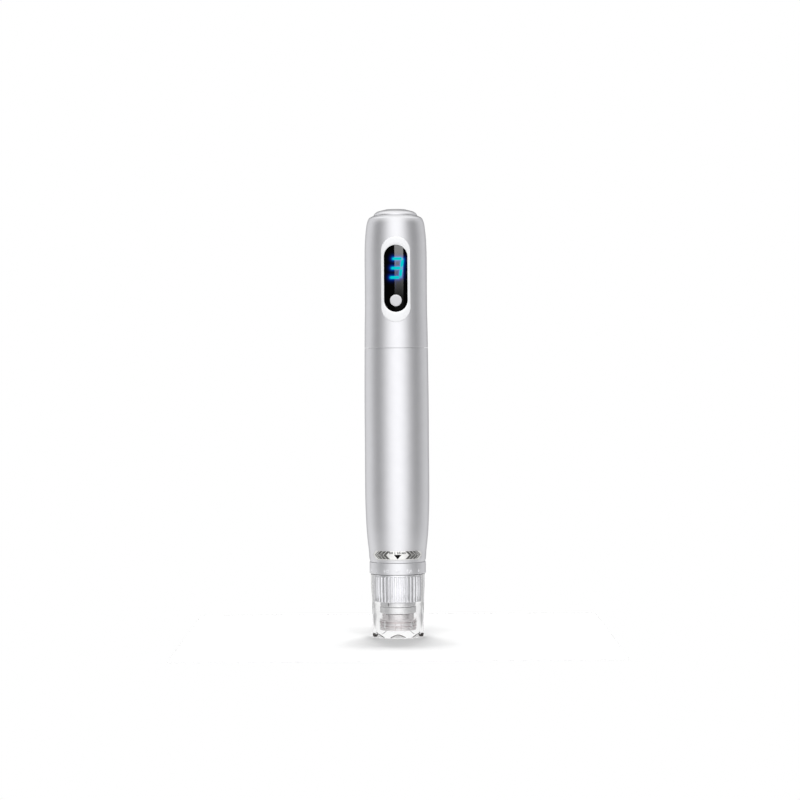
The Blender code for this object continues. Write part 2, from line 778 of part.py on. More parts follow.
def chassis_tube():
    """A D-shaped tube, flat behind the main board and open at both ends."""
    bm = bmesh.new()
    shapes = []
    for radius, front in (
        (holder_radius, chassis_front),
        (holder_radius - CHASSIS_WALL, chassis_inner_front),
    ):
        first = -math.asin(front / radius)
        last = math.pi - first
        shapes.append(
            [
                (radius * math.cos(angle), radius * math.sin(angle))
                for angle in (
                    first + (last - first) * i / INNER_SEGMENTS for i in range(INNER_SEGMENTS + 1)
                )
            ]
        )
    rings = []
    for level in (chassis_bottom, chassis_top):
        for shape in shapes:
            rings.append([bm.verts.new((x, y, level)) for x, y in shape])
    outer_low, inner_low, outer_high, inner_high = rings
    count = len(outer_low)
    for first, second in (
        (outer_low, outer_high),
        (inner_low, inner_high),
        (outer_low, inner_low),
        (outer_high, inner_high),
    ):
        for i in range(count):
            j = (i + 1) % count
            bm.faces.new((first[i], first[j], second[j], second[i]))
    bmesh.ops.recalc_face_normals(bm, faces=bm.faces)
    return bm


def along_y(bm, place):
    """Turns a shape made up Z so that it points at +Y, and moves it to (x, z) at y = 0."""
    for vertex in bm.verts:
        x, y, z = vertex.co
        vertex.co = (place[0] + x, z, place[1] - y)
    return bm


def board_screw(name, handle, place):
    head_front = -(main_board_front + CLEARANCE + BOARD_SCREW_HEAD_HEIGHT)
    head_back = -(main_board_front + CLEARANCE)
    outline = [
        (0, head_front),
        (BOARD_SCREW_HEAD, head_front),
        (BOARD_SCREW_HEAD, head_back),
        (BOARD_SCREW_RADIUS, head_back),
        (BOARD_SCREW_RADIUS, -chassis_inner_front),
        (0, -chassis_inner_front),
    ]
    piece(name, along_y(turned(outline, SMALL_SEGMENTS), place), handle, STEEL)


def button(handle, button_body):
    """The button's body has its origin on the button's own axis."""
    outline = [
        (0, -button_face),
        (BUTTON_RADIUS, -button_face),
        (BUTTON_RADIUS, -button_flange_front),
        (button_flange_radius, -button_flange_front),
        (button_flange_radius, -button_back),
        (0, -button_back),
    ]
    piece(
        "power_button",
        along_y(turned(outline, INNER_SEGMENTS), (0, 0)),
        button_body,
        WHITE_PLASTIC,
    )
    plunger = [
        (0, -plunger_front),
        (PLUNGER_RADIUS, -plunger_front),
        (PLUNGER_RADIUS, -plunger_back),
        (0, -plunger_back),
    ]
    piece(
        "switch_plunger",
        along_y(turned(plunger, SMALL_SEGMENTS), (0, 0)),
        button_body,
        BLACK_PLASTIC,
    )
    half = SWITCH_WIDTH / 2
    case = rectangle(-half, half, button_height - half, button_height + half)
    switch = piece("tact_switch", prism(case, -switch_front, -switch_back, "Y"), handle, STEEL)
    well = circle(PLUNGER_RADIUS + CLEARANCE, SMALL_SEGMENTS, (0, button_height))
    well_floor = plunger_back - BUTTON_TRAVEL - CLEARANCE
    change(switch, prism(well, -(switch_front + OVERRUN), -well_floor, "Y"))


# Battery and leads


def battery(handle):
    button_top = cell_top
    shoulder = cell_top - CELL_BUTTON_HEIGHT
    cell = [
        (0, cell_bottom),
        (cell_radius, cell_bottom),
        (cell_radius, shoulder),
        (CELL_BUTTON_RADIUS, shoulder),
        (CELL_BUTTON_RADIUS, button_top),
        (0, button_top),
    ]
    piece("battery_cell", turned(cell, INNER_SEGMENTS), handle, BLUE_WRAP)
    floor_top = cell_bottom - CLEARANCE
    floor_bottom = floor_top - HOLDER_FLOOR
    lip = holder_radius - HOLDER_LIP
    tube = [
        (lip, floor_bottom),
        (holder_radius, floor_bottom),
        (holder_radius, shoulder),
        (holder_bore, shoulder),
        (holder_bore, floor_top),
        (lip, floor_top),
    ]
    holder = piece("battery_holder", turned(tube, INNER_SEGMENTS), handle, BLACK_PLASTIC)
    channel = rectangle(-CHANNEL_HALF_WIDTH, CHANNEL_HALF_WIDTH, -(BODY_RADIUS + OVERRUN), 0)
    change(holder, prism(channel, floor_bottom - OVERRUN, cell_top + OVERRUN))


def smooth_route(points):
    """A Catmull-Rom curve through the points."""
    ends = [points[0]] + points + [points[-1]]
    route = []
    for before, first, second, after in zip(ends, ends[1:], ends[2:], ends[3:]):
        for step in range(LEAD_SAMPLES):
            t = step / LEAD_SAMPLES
            route.append(
                tuple(
                    0.5
                    * (
                        2 * b
                        + (c - a) * t
                        + (2 * a - 5 * b + 4 * c - d) * t**2
                        + (3 * b - a - 3 * c + d) * t**3
                    )
                    for a, b, c, d in zip(before, first, second, after)
                )
            )
    route.append(points[-1])
    return route


def lead(name, points, parent, finish):
    """A wire along a smooth route, as a mesh tube."""
    route = smooth_route(points)
    curve = bpy.data.curves.new(name, "CURVE")
    curve.dimensions = "3D"
    curve.bevel_depth = LEAD_RADIUS
    curve.bevel_resolution = 1
    curve.use_fill_caps = True
    spline = curve.splines.new("POLY")
    spline.points.add(len(route) - 1)
    for point, place in zip(spline.points, route):
        point.co = (*place, 1.0)
    made = bpy.data.objects.new(name, curve)
    bpy.context.scene.collection.objects.link(made)
    made.parent = parent
    curve.materials.append(material(name, finish))


def upper_lead_end(x):
    """The stretch from the channel to the lower edge of the main board."""
    board_middle = (main_board_front + main_board_back) / 2
    end = chassis_bottom - CLEARANCE
    over = cell_top + LEAD_ROOM * LEAD_RISE_SHARE
    bend = (lead_circle - board_middle) * LEAD_BEND_SHARE
    return [
        (x, -lead_circle, cell_top - LEAD_ROOM),
        (x, -lead_circle, cell_top),
        (x, -(lead_circle - bend), over),
        (x, -(board_middle + bend), over + LEAD_RADIUS),
        (x, -board_middle, end),
    ]


def leads(handle):
    under = cell_bottom - CLEARANCE - HOLDER_FLOOR
    for name, side, finish in (
        ("motor_lead_red", -1, RED_WIRE),
        ("motor_lead_black", 1, BLACK_WIRE),
    ):
        x = side * LEAD_SPACING
        start = [
            (x, -TERMINAL_OFFSET, terminal_top + CLEARANCE),
            (x, -(TERMINAL_OFFSET + lead_circle) / 2, under - LEAD_RADIUS),
            (x, -lead_circle, under + HOLDER_FLOOR + LEAD_RADIUS),
            (x, -lead_circle, cell_bottom + LEAD_ROOM),
        ]
        lead(name, start + upper_lead_end(x), handle, finish)
    low = under - LEAD_RADIUS
    negative = [
        (0, 0, low + LEAD_RADIUS),
        (0, -lead_circle / 2, low),
        (0, -lead_circle * LEAD_TURN_SHARE, low + LEAD_RADIUS),
        (0, -lead_circle, under + HOLDER_FLOOR + LEAD_RADIUS),
        (0, -lead_circle, cell_bottom + LEAD_ROOM),
    ]
    lead("battery_lead_black", negative + upper_lead_end(0), handle, BLACK_WIRE)
    board_middle = (main_board_front + main_board_back) / 2
    above = cell_top + CLEARANCE + LEAD_RADIUS
    positive = [
        (0, 0, above),
        (2 * LEAD_SPACING / 3, -board_middle / 2, above + LEAD_RADIUS / 2),
        (2 * LEAD_SPACING, -board_middle * LEAD_ENTRY_SHARE, above + LEAD_RADIUS),
        (2 * LEAD_SPACING, -board_middle, chassis_bottom - CLEARANCE),
    ]
    lead("battery_lead_red", positive, handle, RED_WIRE)


# Depth ring, and the nose that it turns on


def depth_ring(ring_body):
    outline = [
        (skirt_bore, ring_bottom),
        (RING_RADIUS - RING_CHAMFER, ring_bottom),
        (RING_RADIUS, ring_bottom + RING_CHAMFER),
        (RING_RADIUS, ring_top - RING_CHAMFER),
        (RING_RADIUS - RING_CHAMFER, ring_top),
        (skirt_radius, ring_top),
        (skirt_radius, lip_bottom),
        (lip_radius, lip_bottom),
        (lip_radius, lip_top),
        (skirt_bore, lip_top),
    ]
    ring = piece("depth_ring", turned(outline, OUTER_SEGMENTS), ring_body, SATIN_SILVER)
    rise = MAX_DEPTH / RING_TRAVEL
    end_play = (PIN_RADIUS + CLEARANCE) / skirt_bore
    first = -RING_TRAVEL * (1 - REST_DEPTH / MAX_DEPTH) - end_play
    last = RING_TRAVEL * REST_DEPTH / MAX_DEPTH + end_play
    path = []
    for step in range(GROOVE_STEPS + 1):
        turn = first + (last - first) * step / GROOVE_STEPS
        path.append((math.pi / 2 + turn, guide_pin_height + rise * turn))
    slot = add_band(
        bmesh.new(), nose_radius, lip_bore, path, PIN_RADIUS + SLIDE_CLEARANCE
    )
    change(ring, slot)


def nose_sleeve(handle):
    outline = [
        (spigot_bore, spigot_bottom),
        (spigot_radius, spigot_bottom),
        (spigot_radius, nose_bottom),
        (nose_radius, nose_bottom),
        (nose_radius, nose_flange_bottom),
        (coupler_radius, nose_flange_bottom),
        (coupler_radius, nose_flange_top),
        (nose_bore, nose_flange_top),
        (nose_bore, web_top),
        (spigot_bore, web_top),
    ]
    sleeve = piece("nose_sleeve", turned(outline, INNER_SEGMENTS), handle, BRIGHT_SILVER)
    lug_bottom = spigot_bottom + LUG_RISE
    lugs = sectors(
        spigot_radius - SPIGOT_WALL / 2,
        lug_radius,
        lug_bottom,
        lug_bottom + LUG_LENGTH,
        -LUG_WIDTH / 2,
        LUG_WIDTH,
        LUG_COUNT,
    )
    change(sleeve, lugs, "UNION")
    half = PIN_RADIUS + SLIDE_CLEARANCE
    slot = rectangle(
        -half,
        half,
        guide_pin_height - down_travel - half,
        guide_pin_height + REST_DEPTH + half,
    )
    change(sleeve, prism(slot, carriage_bore, nose_radius + SHORT_OVERRUN, "Y"))

    lock = [
        (nose_bore, lock_ring_bottom),
        (coupler_radius, lock_ring_bottom),
        (coupler_radius, lock_ring_top),
        (nose_bore, lock_ring_top),
    ]
    piece("nose_lock_ring", turned(lock, INNER_SEGMENTS), handle, STEEL)
    seat = nose_bore - CLEARANCE
    hole = ROD_RADIUS + SLIDE_CLEARANCE
    bush = [(hole, bush_bottom), (seat, bush_bottom), (seat, bush_top), (hole, bush_top)]
    piece("rod_bush", turned(bush, INNER_SEGMENTS), handle, BRASS)
    wiper = [(hole, seal_bottom), (seat, seal_bottom), (seat, seal_top), (hole, seal_top)]
    piece("rod_seal", turned(wiper, INNER_SEGMENTS), handle, RUBBER)


# Drive


def carriage(carriage_body):
    outline = [
        (carriage_bore, carriage_bottom),
        (carriage_radius, carriage_bottom),
        (carriage_radius, disc_bottom),
        (cup_radius, disc_bottom),
        (cup_radius, disc_top + CUP_DEPTH),
        (cup_bore, disc_top + CUP_DEPTH),
        (cup_bore, disc_top),
        (motor_boss_radius + CLEARANCE, disc_top),
        (motor_boss_radius + CLEARANCE, disc_bottom),
        (carriage_bore, disc_bottom),
    ]
    frame = piece("drive_carriage", turned(outline, INNER_SEGMENTS), carriage_body, BLACK_PLASTIC)
    pin_hole = circle(PIN_RADIUS + CLEARANCE, SMALL_SEGMENTS, (0, guide_pin_height))
    change(frame, prism(pin_hole, yoke_bore, carriage_radius + SHORT_OVERRUN, "Y"))
    half = YOKE_LUG_LENGTH / 2 + CLEARANCE
    lug_low = yoke_bottom + YOKE_LUG_RISE - STROKE - CLEARANCE
    lug_high = yoke_bottom + YOKE_LUG_RISE + YOKE_LUG_LENGTH + CLEARANCE
    lug_slot = rectangle(-half, half, lug_low, lug_high)
    change(frame, prism(lug_slot, -(carriage_radius + SHORT_OVERRUN), -yoke_bore, "Y"))
    screw_holes = bmesh.new()
    for side in (-1, 1):
        hole = circle(
            motor_screw_radius + CLEARANCE,
            SMALL_SEGMENTS,
            (side * motor_screw_offset, 0),
        )
        add_prism(screw_holes, hole, disc_bottom - OVERRUN, disc_top + OVERRUN)
    change(frame, screw_holes)

    pin = [
        (0, carriage_bore),
        (PIN_RADIUS, carriage_bore),
        (PIN_RADIUS, skirt_radius - SLIDE_CLEARANCE),
        (0, skirt_radius - SLIDE_CLEARANCE),
    ]
    guide = along_y(turned(pin, SMALL_SEGMENTS), (0, guide_pin_height))
    piece("guide_pin", guide, carriage_body, STEEL)


def motor(carriage_body):
    cap_radius = motor_radius - MOTOR_CAP_STEP
    outline = [
        (shaft_hole, motor_bottom - MOTOR_BOSS_HEIGHT),
        (motor_boss_radius, motor_bottom - MOTOR_BOSS_HEIGHT),
        (motor_boss_radius, motor_bottom),
        (motor_radius, motor_bottom),
        (motor_radius, motor_top),
        (cap_radius, motor_top),
        (cap_radius, motor_cap_top),
        (0, motor_cap_top),
        (0, motor_bottom + SHAFT_SEAT + CLEARANCE),
        (shaft_hole, motor_bottom + SHAFT_SEAT + CLEARANCE),
    ]
    can = piece("drive_motor", turned(outline, INNER_SEGMENTS), carriage_body, STEEL)
    terminals = bmesh.new()
    half = TERMINAL_WIDTH / 2
    for side in (-1, 1):
        x = side * LEAD_SPACING
        tab = rectangle(x - half, x + half, -TERMINAL_OFFSET - half / 2, -TERMINAL_OFFSET + half / 2)
        add_prism(terminals, tab, motor_top, terminal_top)
    change(can, terminals, "UNION")
    taps = bmesh.new()
    for side in (-1, 1):
        hole = circle(
            motor_screw_radius + CLEARANCE,
            SMALL_SEGMENTS,
            (side * motor_screw_offset, 0),
        )
        add_prism(taps, hole, motor_bottom - MOTOR_BOSS_HEIGHT, motor_bottom + MOTOR_SCREW_DEPTH)
    change(can, taps)
    for number, side in enumerate((-1, 1), start=1):
        head_bottom_height = disc_bottom - CLEARANCE - MOTOR_SCREW_HEAD_HEIGHT
        tip = motor_bottom + MOTOR_SCREW_DEPTH - CLEARANCE
        screw = [
            (0, head_bottom_height),
            (motor_screw_head, head_bottom_height),
            (motor_screw_head, disc_bottom - CLEARANCE),
            (motor_screw_radius, disc_bottom - CLEARANCE),
            (motor_screw_radius, tip),
            (0, tip),
        ]
        place = (side * motor_screw_offset, 0, 0)
        piece(f"motor_screw_{number}", turned(screw, SMALL_SEGMENTS), carriage_body, STEEL, place)


def cam(cam_body):
    shaft = [
        (0, drum_bottom),
        (SHAFT_RADIUS, drum_bottom),
        (SHAFT_RADIUS, motor_bottom + SHAFT_SEAT),
        (0, motor_bottom + SHAFT_SEAT),
    ]
    piece("motor_shaft", turned(shaft, SMALL_SEGMENTS), cam_body, STEEL)
    outline = [
        (shaft_hole, drum_bottom),
        (drum_radius, drum_bottom),
        (drum_radius, drum_top),
        (shaft_hole, drum_top),
    ]
    drum = piece("cam_drum", turned(outline, INNER_SEGMENTS), cam_body, BRASS)
    path = []
    for step in range(GROOVE_STEPS + 1):
        turn = math.tau * step / GROOVE_STEPS
        drop = STROKE * (1 - abs(turn - math.pi) / math.pi)
        path.append((turn - math.pi / 2, follower_height - drop))
    slope = math.atan2(STROKE, math.pi * groove_floor)
    half_height = (FOLLOWER_RADIUS + SLIDE_CLEARANCE) / math.cos(slope)
    change(drum, add_band(bmesh.new(), groove_floor, drum_radius + OVERRUN, path, half_height))
    screw_height = drum_bottom + SET_SCREW_RADIUS + CLEARANCE + SLIDE_CLEARANCE
    hole = circle(SET_SCREW_RADIUS + CLEARANCE, SMALL_SEGMENTS, (0, screw_height))
    change(drum, prism(hole, 0, drum_radius + OVERRUN, "X"))
    screw = [
        (0, shaft_hole),
        (SET_SCREW_RADIUS, shaft_hole),
        (SET_SCREW_RADIUS, drum_radius - CLEARANCE),
        (0, drum_radius - CLEARANCE),
    ]
    set_screw = along_y(turned(screw, SMALL_SEGMENTS), (0, 0))
    made = piece("drum_set_screw", set_screw, cam_body, STEEL, (0, 0, screw_height))
    made.rotation_euler.z = -math.pi / 2


def rod(rod_body):
    hole = ROD_RADIUS + CLEARANCE
    outline = [
        (0, rod_top + CLEARANCE),
        (hole, rod_top + CLEARANCE),
        (hole, yoke_bottom),
        (yoke_radius, yoke_bottom),
        (yoke_radius, yoke_top),
        (yoke_bore, yoke_top),
        (yoke_bore, yoke_floor_top + CLEARANCE),
        (0, yoke_floor_top + CLEARANCE),
    ]
    yoke = piece("rod_yoke", turned(outline, INNER_SEGMENTS), rod_body, BRASS)
    half = YOKE_LUG_LENGTH / 2
    lug_low = yoke_bottom + YOKE_LUG_RISE
    lug = rectangle(-half, half, lug_low, lug_low + YOKE_LUG_LENGTH)
    lug_face = -(carriage_radius - CLEARANCE)
    change(yoke, prism(lug, lug_face, -(yoke_radius - YOKE_WALL / 2), "Y"), "UNION")
    pin_hole = circle(FOLLOWER_RADIUS + CLEARANCE, SMALL_SEGMENTS, (0, follower_height))
    change(yoke, prism(pin_hole, -(yoke_radius + OVERRUN), 0, "Y"))
    pin = [
        (0, -yoke_radius),
        (FOLLOWER_RADIUS, -yoke_radius),
        (FOLLOWER_RADIUS, -(groove_floor + CLEARANCE)),
        (0, -(groove_floor + CLEARANCE)),
    ]
    follower = along_y(turned(pin, SMALL_SEGMENTS), (0, follower_height))
    piece("follower_pin", follower, rod_body, STEEL)
    shank = [(0, rod_bottom), (ROD_RADIUS, rod_bottom), (ROD_RADIUS, rod_top), (0, rod_top)]
    piece("push_rod", turned(shank, SMALL_SEGMENTS), rod_body, STEEL)


# Needle cartridge


def needles(rod_body):
    stem = [
        (0, stem_bottom),
        (STEM_RADIUS, stem_bottom),
        (STEM_RADIUS, stem_head_bottom),
        (STEM_HEAD_RADIUS, stem_head_bottom),
        (STEM_HEAD_RADIUS, stem_top),
        (0, stem_top),
    ]
    piece("needle_stem", turned(stem, SMALL_SEGMENTS), rod_body, WHITE_PLASTIC)
    disc = circle(PLATE_RADIUS, INNER_SEGMENTS)
    plate = piece("needle_plate", prism(disc, plate_bottom, plate_top), rod_body, WHITE_PLASTIC)
    points = bmesh.new()
    for count, circle_radius in ((OUTER_NEEDLES, OUTER_NEEDLE_RING), (INNER_NEEDLES, INNER_NEEDLE_RING)):
        for x, y, _ in ring_points(circle_radius, count):
            base = [
                points.verts.new((x + a, y + b, plate_bottom + NEEDLE_ROOT))
                for a, b in circle(NEEDLE_RADIUS, NEEDLE_SEGMENTS)
            ]
            tip = points.verts.new((x, y, needle_tip))
            points.faces.new(base)
            for i in range(NEEDLE_SEGMENTS):
                points.faces.new((base[i], base[(i + 1) % NEEDLE_SEGMENTS], tip))
    bmesh.ops.recalc_face_normals(points, faces=points.faces)
    change(plate, points, "UNION")


def cartridge(cartridge_body):
    neck_radius = needle_head_radius - NECK_STEP
    neck_bottom = head_neck_top - NEEDLE_HEAD_NECK
    head = [
        (nozzle_radius, TIP_INSET),
        (needle_head_radius, TIP_INSET),
        (needle_head_radius, neck_bottom),
        (neck_radius, neck_bottom),
        (neck_radius, head_neck_top),
        (needle_head_bore, head_neck_top),
        (needle_head_bore, TIP_INSET + END_WALL),
        (nozzle_radius, TIP_INSET + END_WALL),
    ]
    piece("needle_head", turned(head, INNER_SEGMENTS), cartridge_body, CLEAR_PLASTIC)
    flange_radius = needle_head_radius - FLANGE_STEP
    flange = [
        (needle_head_bore, flange_bottom),
        (flange_radius, flange_bottom),
        (flange_radius, flange_top),
        (needle_head_bore, flange_top),
    ]
    piece("cartridge_flange", turned(flange, INNER_SEGMENTS), cartridge_body, WHITE_PLASTIC)
    collar_bore_radius = collar_radius - COLLAR_RIM
    collar = [
        (collar_bore_radius, collar_bottom),
        (collar_radius, collar_bottom),
        (collar_radius, collar_top),
        (collar_bore_radius, collar_top),
    ]
    piece("cartridge_collar", turned(collar, INNER_SEGMENTS), cartridge_body, CLEAR_PLASTIC)
    membrane_bottom = (collar_bottom + collar_top - MEMBRANE_THICKNESS) / 2
    membrane_top = membrane_bottom + MEMBRANE_THICKNESS
    stem_hole = STEM_RADIUS + CLEARANCE
    membrane_edge = collar_bore_radius - CLEARANCE
    membrane = [
        (stem_hole, membrane_bottom),
        (membrane_edge, membrane_bottom),
        (membrane_edge, membrane_top),
        (stem_hole, membrane_top),
    ]
    piece("cartridge_membrane", turned(membrane, INNER_SEGMENTS), cartridge_body, SILICONE)


def rib_outline():
    """A ribbed circle: each rib has a crest and a root, as shares of its pitch."""
    pitch = math.tau / RIB_COUNT
    points = []
    for rib in range(RIB_COUNT):
        middle = pitch * rib
        for offset, radius in (
            (-RIB_CREST_SHARE / 2, grip_radius),
            (RIB_CREST_SHARE / 2, grip_radius),
            ((1 - RIB_ROOT_SHARE) / 2, rib_valley),
            ((1 + RIB_ROOT_SHARE) / 2, rib_valley),
        ):
            angle = middle + pitch * offset
            points.append((radius * math.cos(angle), radius * math.sin(angle)))
    return points


def cartridge_grip(cartridge_body):
    grip = piece(
        "cartridge_grip",
        prism(rib_outline(), grip_bottom, grip_top),
        cartridge_body,
        GREY_PLASTIC,
    )
    floor_top = grip_bottom + GRIP_FLOOR
    bore = [
        (0, grip_bottom - OVERRUN),
        (grip_hole, grip_bottom - OVERRUN),
        (grip_hole, floor_top),
        (grip_bore, floor_top),
        (grip_bore, grip_top + OVERRUN),
        (0, grip_top + OVERRUN),
    ]
    change(grip, turned(bore, INNER_SEGMENTS))
    slot_outer = lug_radius + CLEARANCE
    slot_inner = grip_bore - GRIP_WALL / 2
    play = LUG_PLAY
    lug_bottom = spigot_bottom + LUG_RISE
    slot_bottom = lug_bottom - CLEARANCE
    slot_top = lug_bottom + LUG_LENGTH + CLEARANCE
    lock_start = -LUG_WIDTH / 2 - play - BAYONET_TURN
    lock_width = LUG_WIDTH + BAYONET_TURN + 2 * play
    change(
        grip,
        sectors(slot_inner, slot_outer, slot_bottom, slot_top, lock_start, lock_width, LUG_COUNT),
    )
    change(
        grip,
        sectors(
            slot_inner,
            slot_outer,
            (slot_bottom + slot_top) / 2,
            grip_top + OVERRUN,
            lock_start,
            LUG_WIDTH + 2 * play,
            LUG_COUNT,
        ),
    )


# Protective cap


def arch_rise(azimuth):
    """How far the crown's edge is above the feet. A foot points at +Y."""
    pitch = math.tau / LOBES
    phase = ((azimuth - math.pi / 2) / pitch) % 1.0
    from_foot = min(phase, 1.0 - phase)
    if from_foot <= LOBE_FLAT_SHARE + PHASE_TOLERANCE:
        return 0.0
    across = (from_foot - LOBE_FLAT_SHARE) / (0.5 - LOBE_FLAT_SHARE)
    return ARCH_HEIGHT * math.sin(across * math.pi / 2)


def protective_cap(cap_body):
    outside = outline_of(CAP_OUTLINE_SHARES, cap_top, CAP_RADIUS, 0.0)
    low_step, high_step = CAP_STEP_SHARES
    inside = [
        (cap_bore, cap_top),
        (cap_bore, cap_top * high_step),
        (cap_lower_bore, cap_top * low_step),
        (cap_lower_bore, 0.0),
    ]
    bm = turned(outside + inside, LOBES * LOBE_SEGMENTS, math.pi / 2)
    for vertex in bm.verts:
        if vertex.co.z == 0.0:
            vertex.co.z = arch_rise(math.atan2(vertex.co.y, vertex.co.x))
    piece("protective_cap", bm, cap_body, CLEAR_PLASTIC)


# The whole pen


def build():
    for obj in list(bpy.data.objects):
        bpy.data.objects.remove(obj)
    handle = body("handle_body")
    button_body = body("button_body", handle)
    button_body.location = (0, 0, button_height)
    ring_body = body("ring_body", handle)
    carriage_body = body("carriage_body", handle)
    cam_body = body("cam_body", carriage_body)
    rod_body = body("rod_body", carriage_body)
    cartridge_body = body("cartridge_body", handle)
    cap_body = body("cap_body", cartridge_body)

    barrel(handle)
    head_housing(handle)
    coupler_sleeve(handle)
    tail_cap(handle)
    charging(handle)
    display(handle)
    main_board(handle)
    button(handle, button_body)
    battery(handle)
    leads(handle)
    nose_sleeve(handle)
    depth_ring(ring_body)
    carriage(carriage_body)
    motor(carriage_body)
    cam(cam_body)
    rod(rod_body)
    needles(rod_body)
    cartridge(cartridge_body)
    cartridge_grip(cartridge_body)
    protective_cap(cap_body)


build()
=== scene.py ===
"""Looks of a cordless microneedling pen: its shells, depth ring, display, needle cartridge and clear cap.

Metres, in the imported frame: +Z up along the pen, and the display faces -Y.
"""

import math

import bmesh
import bpy
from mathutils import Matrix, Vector
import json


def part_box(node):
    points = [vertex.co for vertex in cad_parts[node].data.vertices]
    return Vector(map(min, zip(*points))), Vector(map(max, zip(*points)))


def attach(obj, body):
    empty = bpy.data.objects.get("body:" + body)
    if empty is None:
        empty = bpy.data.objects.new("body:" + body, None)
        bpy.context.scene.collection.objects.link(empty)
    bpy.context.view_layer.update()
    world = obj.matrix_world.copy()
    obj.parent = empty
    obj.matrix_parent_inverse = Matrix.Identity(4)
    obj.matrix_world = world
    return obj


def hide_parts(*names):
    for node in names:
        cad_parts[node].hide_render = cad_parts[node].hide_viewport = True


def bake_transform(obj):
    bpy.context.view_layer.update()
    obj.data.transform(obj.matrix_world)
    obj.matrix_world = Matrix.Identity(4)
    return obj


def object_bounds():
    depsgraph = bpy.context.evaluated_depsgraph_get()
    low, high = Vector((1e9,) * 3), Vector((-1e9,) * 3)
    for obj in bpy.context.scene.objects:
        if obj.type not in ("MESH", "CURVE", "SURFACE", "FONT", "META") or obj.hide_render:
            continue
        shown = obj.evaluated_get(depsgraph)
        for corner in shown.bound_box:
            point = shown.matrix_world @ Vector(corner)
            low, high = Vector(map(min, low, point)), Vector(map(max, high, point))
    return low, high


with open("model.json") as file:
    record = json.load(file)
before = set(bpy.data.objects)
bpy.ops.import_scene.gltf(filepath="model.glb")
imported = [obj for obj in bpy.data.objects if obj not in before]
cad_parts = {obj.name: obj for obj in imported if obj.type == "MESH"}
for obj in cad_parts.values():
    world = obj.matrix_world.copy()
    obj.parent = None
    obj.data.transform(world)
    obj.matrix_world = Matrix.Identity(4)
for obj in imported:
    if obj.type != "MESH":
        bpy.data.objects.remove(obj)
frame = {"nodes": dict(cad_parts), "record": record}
cad_low, cad_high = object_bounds()

# Facets, seams and edges

FINE_SEGMENTS = 192
PLAIN_SEGMENTS = 96
CURVE_STEPS = 10
FILLET_STEPS = 4
FILLET_ANGLE = math.radians(25)
FILLET_REACH = 0.45
SHARP_ANGLE = math.radians(38)
FLAT_ANGLE = math.radians(1)
SHELL_FILLET = 0.00012
RING_FILLET = 0.0002
SMALL_FILLET = 0.0001
SEAM = 0.00006
FINE_SEAM = 0.00002
INK_THICKNESS = 0.000012
WELD_DISTANCE = 1e-7
WELD_SHARE = 0.001

# Shells: outlines run up the pen, as shares of each shell's length and of the body's radius

BODY_RADIUS = 0.0120
CUT_REACH = BODY_RADIUS * 1.2
BARREL_WALL = 0.00125
MOUTH_WALL = 0.0010
LIP_STEP = 0.00065
LIP_ROOM = 0.0040
FOOT_DROP = 0.0002
RING_DROP = 0.00035
CARTRIDGE_SEAM = 0.00008
HEAD_TAPER_WALL = 0.0013
ROOF_THICKNESS = 0.0041
COLLAR_WALL = 0.0012
BARREL_OUTLINE_SHARES = [
    (0.0, 0.858),
    (0.014, 0.882),
    (0.051, 0.900),
    (0.108, 0.942),
    (0.173, 0.973),
    (0.305, 1.0),
    (0.53, 1.0),
    (0.762, 1.0),
    (1.0, 0.9875),
]
HEAD_OUTLINE_SHARES = [
    (0.0, 0.9875),
    (0.148, 0.980),
    (0.258, 0.970),
    (0.359, 0.967),
    (0.52, 0.967),
    (0.684, 0.967),
    (0.785, 0.9575),
    (0.840, 0.944),
    (0.886, 0.925),
    (0.931, 0.901),
    (0.960, 0.868),
    (0.984, 0.810),
    (1.0, 0.683),
]
HEAD_BEND = 3
HEAD_SHOULDER = 9
TAIL_OUTLINE_SHARES = [
    (0.0, 1.0),
    (0.23, 0.974),
    (0.46, 0.905),
    (0.646, 0.812),
    (0.77, 0.69),
    (0.89, 0.56),
    (0.97, 0.47),
    (1.0, 0.42),
]
TAIL_TOP_THICKNESS = 0.0012
TAIL_STEM_WALL = 0.0017
TAIL_GROOVE_DEPTH = 0.00075
TAIL_GROOVE_HEIGHT = 0.0014
TAIL_GROOVE_RISE = 0.0030
JACK_RADIUS = 0.00185

# Display

BEZEL_WIDTH = 0.0109
BEZEL_HEIGHT = 0.0317
BEZEL_SHIFT = -0.0003
WINDOW_WIDTH = 0.00873
WINDOW_HEIGHT = 0.0249
BEZEL_PROFILE_SHARES = [
    (0.0, 0.0),
    (0.02, 0.55),
    (0.07, 0.9),
    (0.2, 1.0),
    (0.7, 0.9),
    (0.93, 0.4),
    (1.0, -0.3),
]
BEZEL_STEPS = 4
BEZEL_PROUD = 0.0002
BEZEL_THICKNESS = 0.0010
WINDOW_RECESS = 0.00015
LENS_SHARE = 0.967
WINDOW_THICKNESS = 0.0011
LENS_EDGE = 0.0003
WINDOW_LOOPS = 32
WINDOW_FIRST_LOOP = 0.3
LENS_BACK_SHARES = (0.05, 0.5)
ARC_STEPS = 28
SIDE_STEPS = 64
BUTTON_FROM_WINDOW_END = 0.0043
BUTTON_HOLE = 0.00224
BUTTON_DOME = 0.00022
BUTTON_FILLET = 0.0004
BUTTON_FLANGE_SHARE = 0.3
BUTTON_DOME_SHARES = (0.8, 0.96)
BUTTON_STEPS = 6
DIGIT_RISE = 0.0038
DIGIT_SHIFT = 0.0001
DIGIT_SLANT = 0.134
SEGMENT_HALF_LENGTH = 0.00178
SEGMENT_HALF_WIDTH = 0.00048
SEGMENT_REACH = 0.00202
SEGMENT_RISE_SHARE = 0.86
SEGMENT_STEPS = 16
SEGMENT_POINT = 1.1
STANDING_SHARE = 0.78
GLOW_RADIUS = 0.00066
GLOW_RUN_SHARE = 0.8
GLOW_POWER = 1.5

# Marks

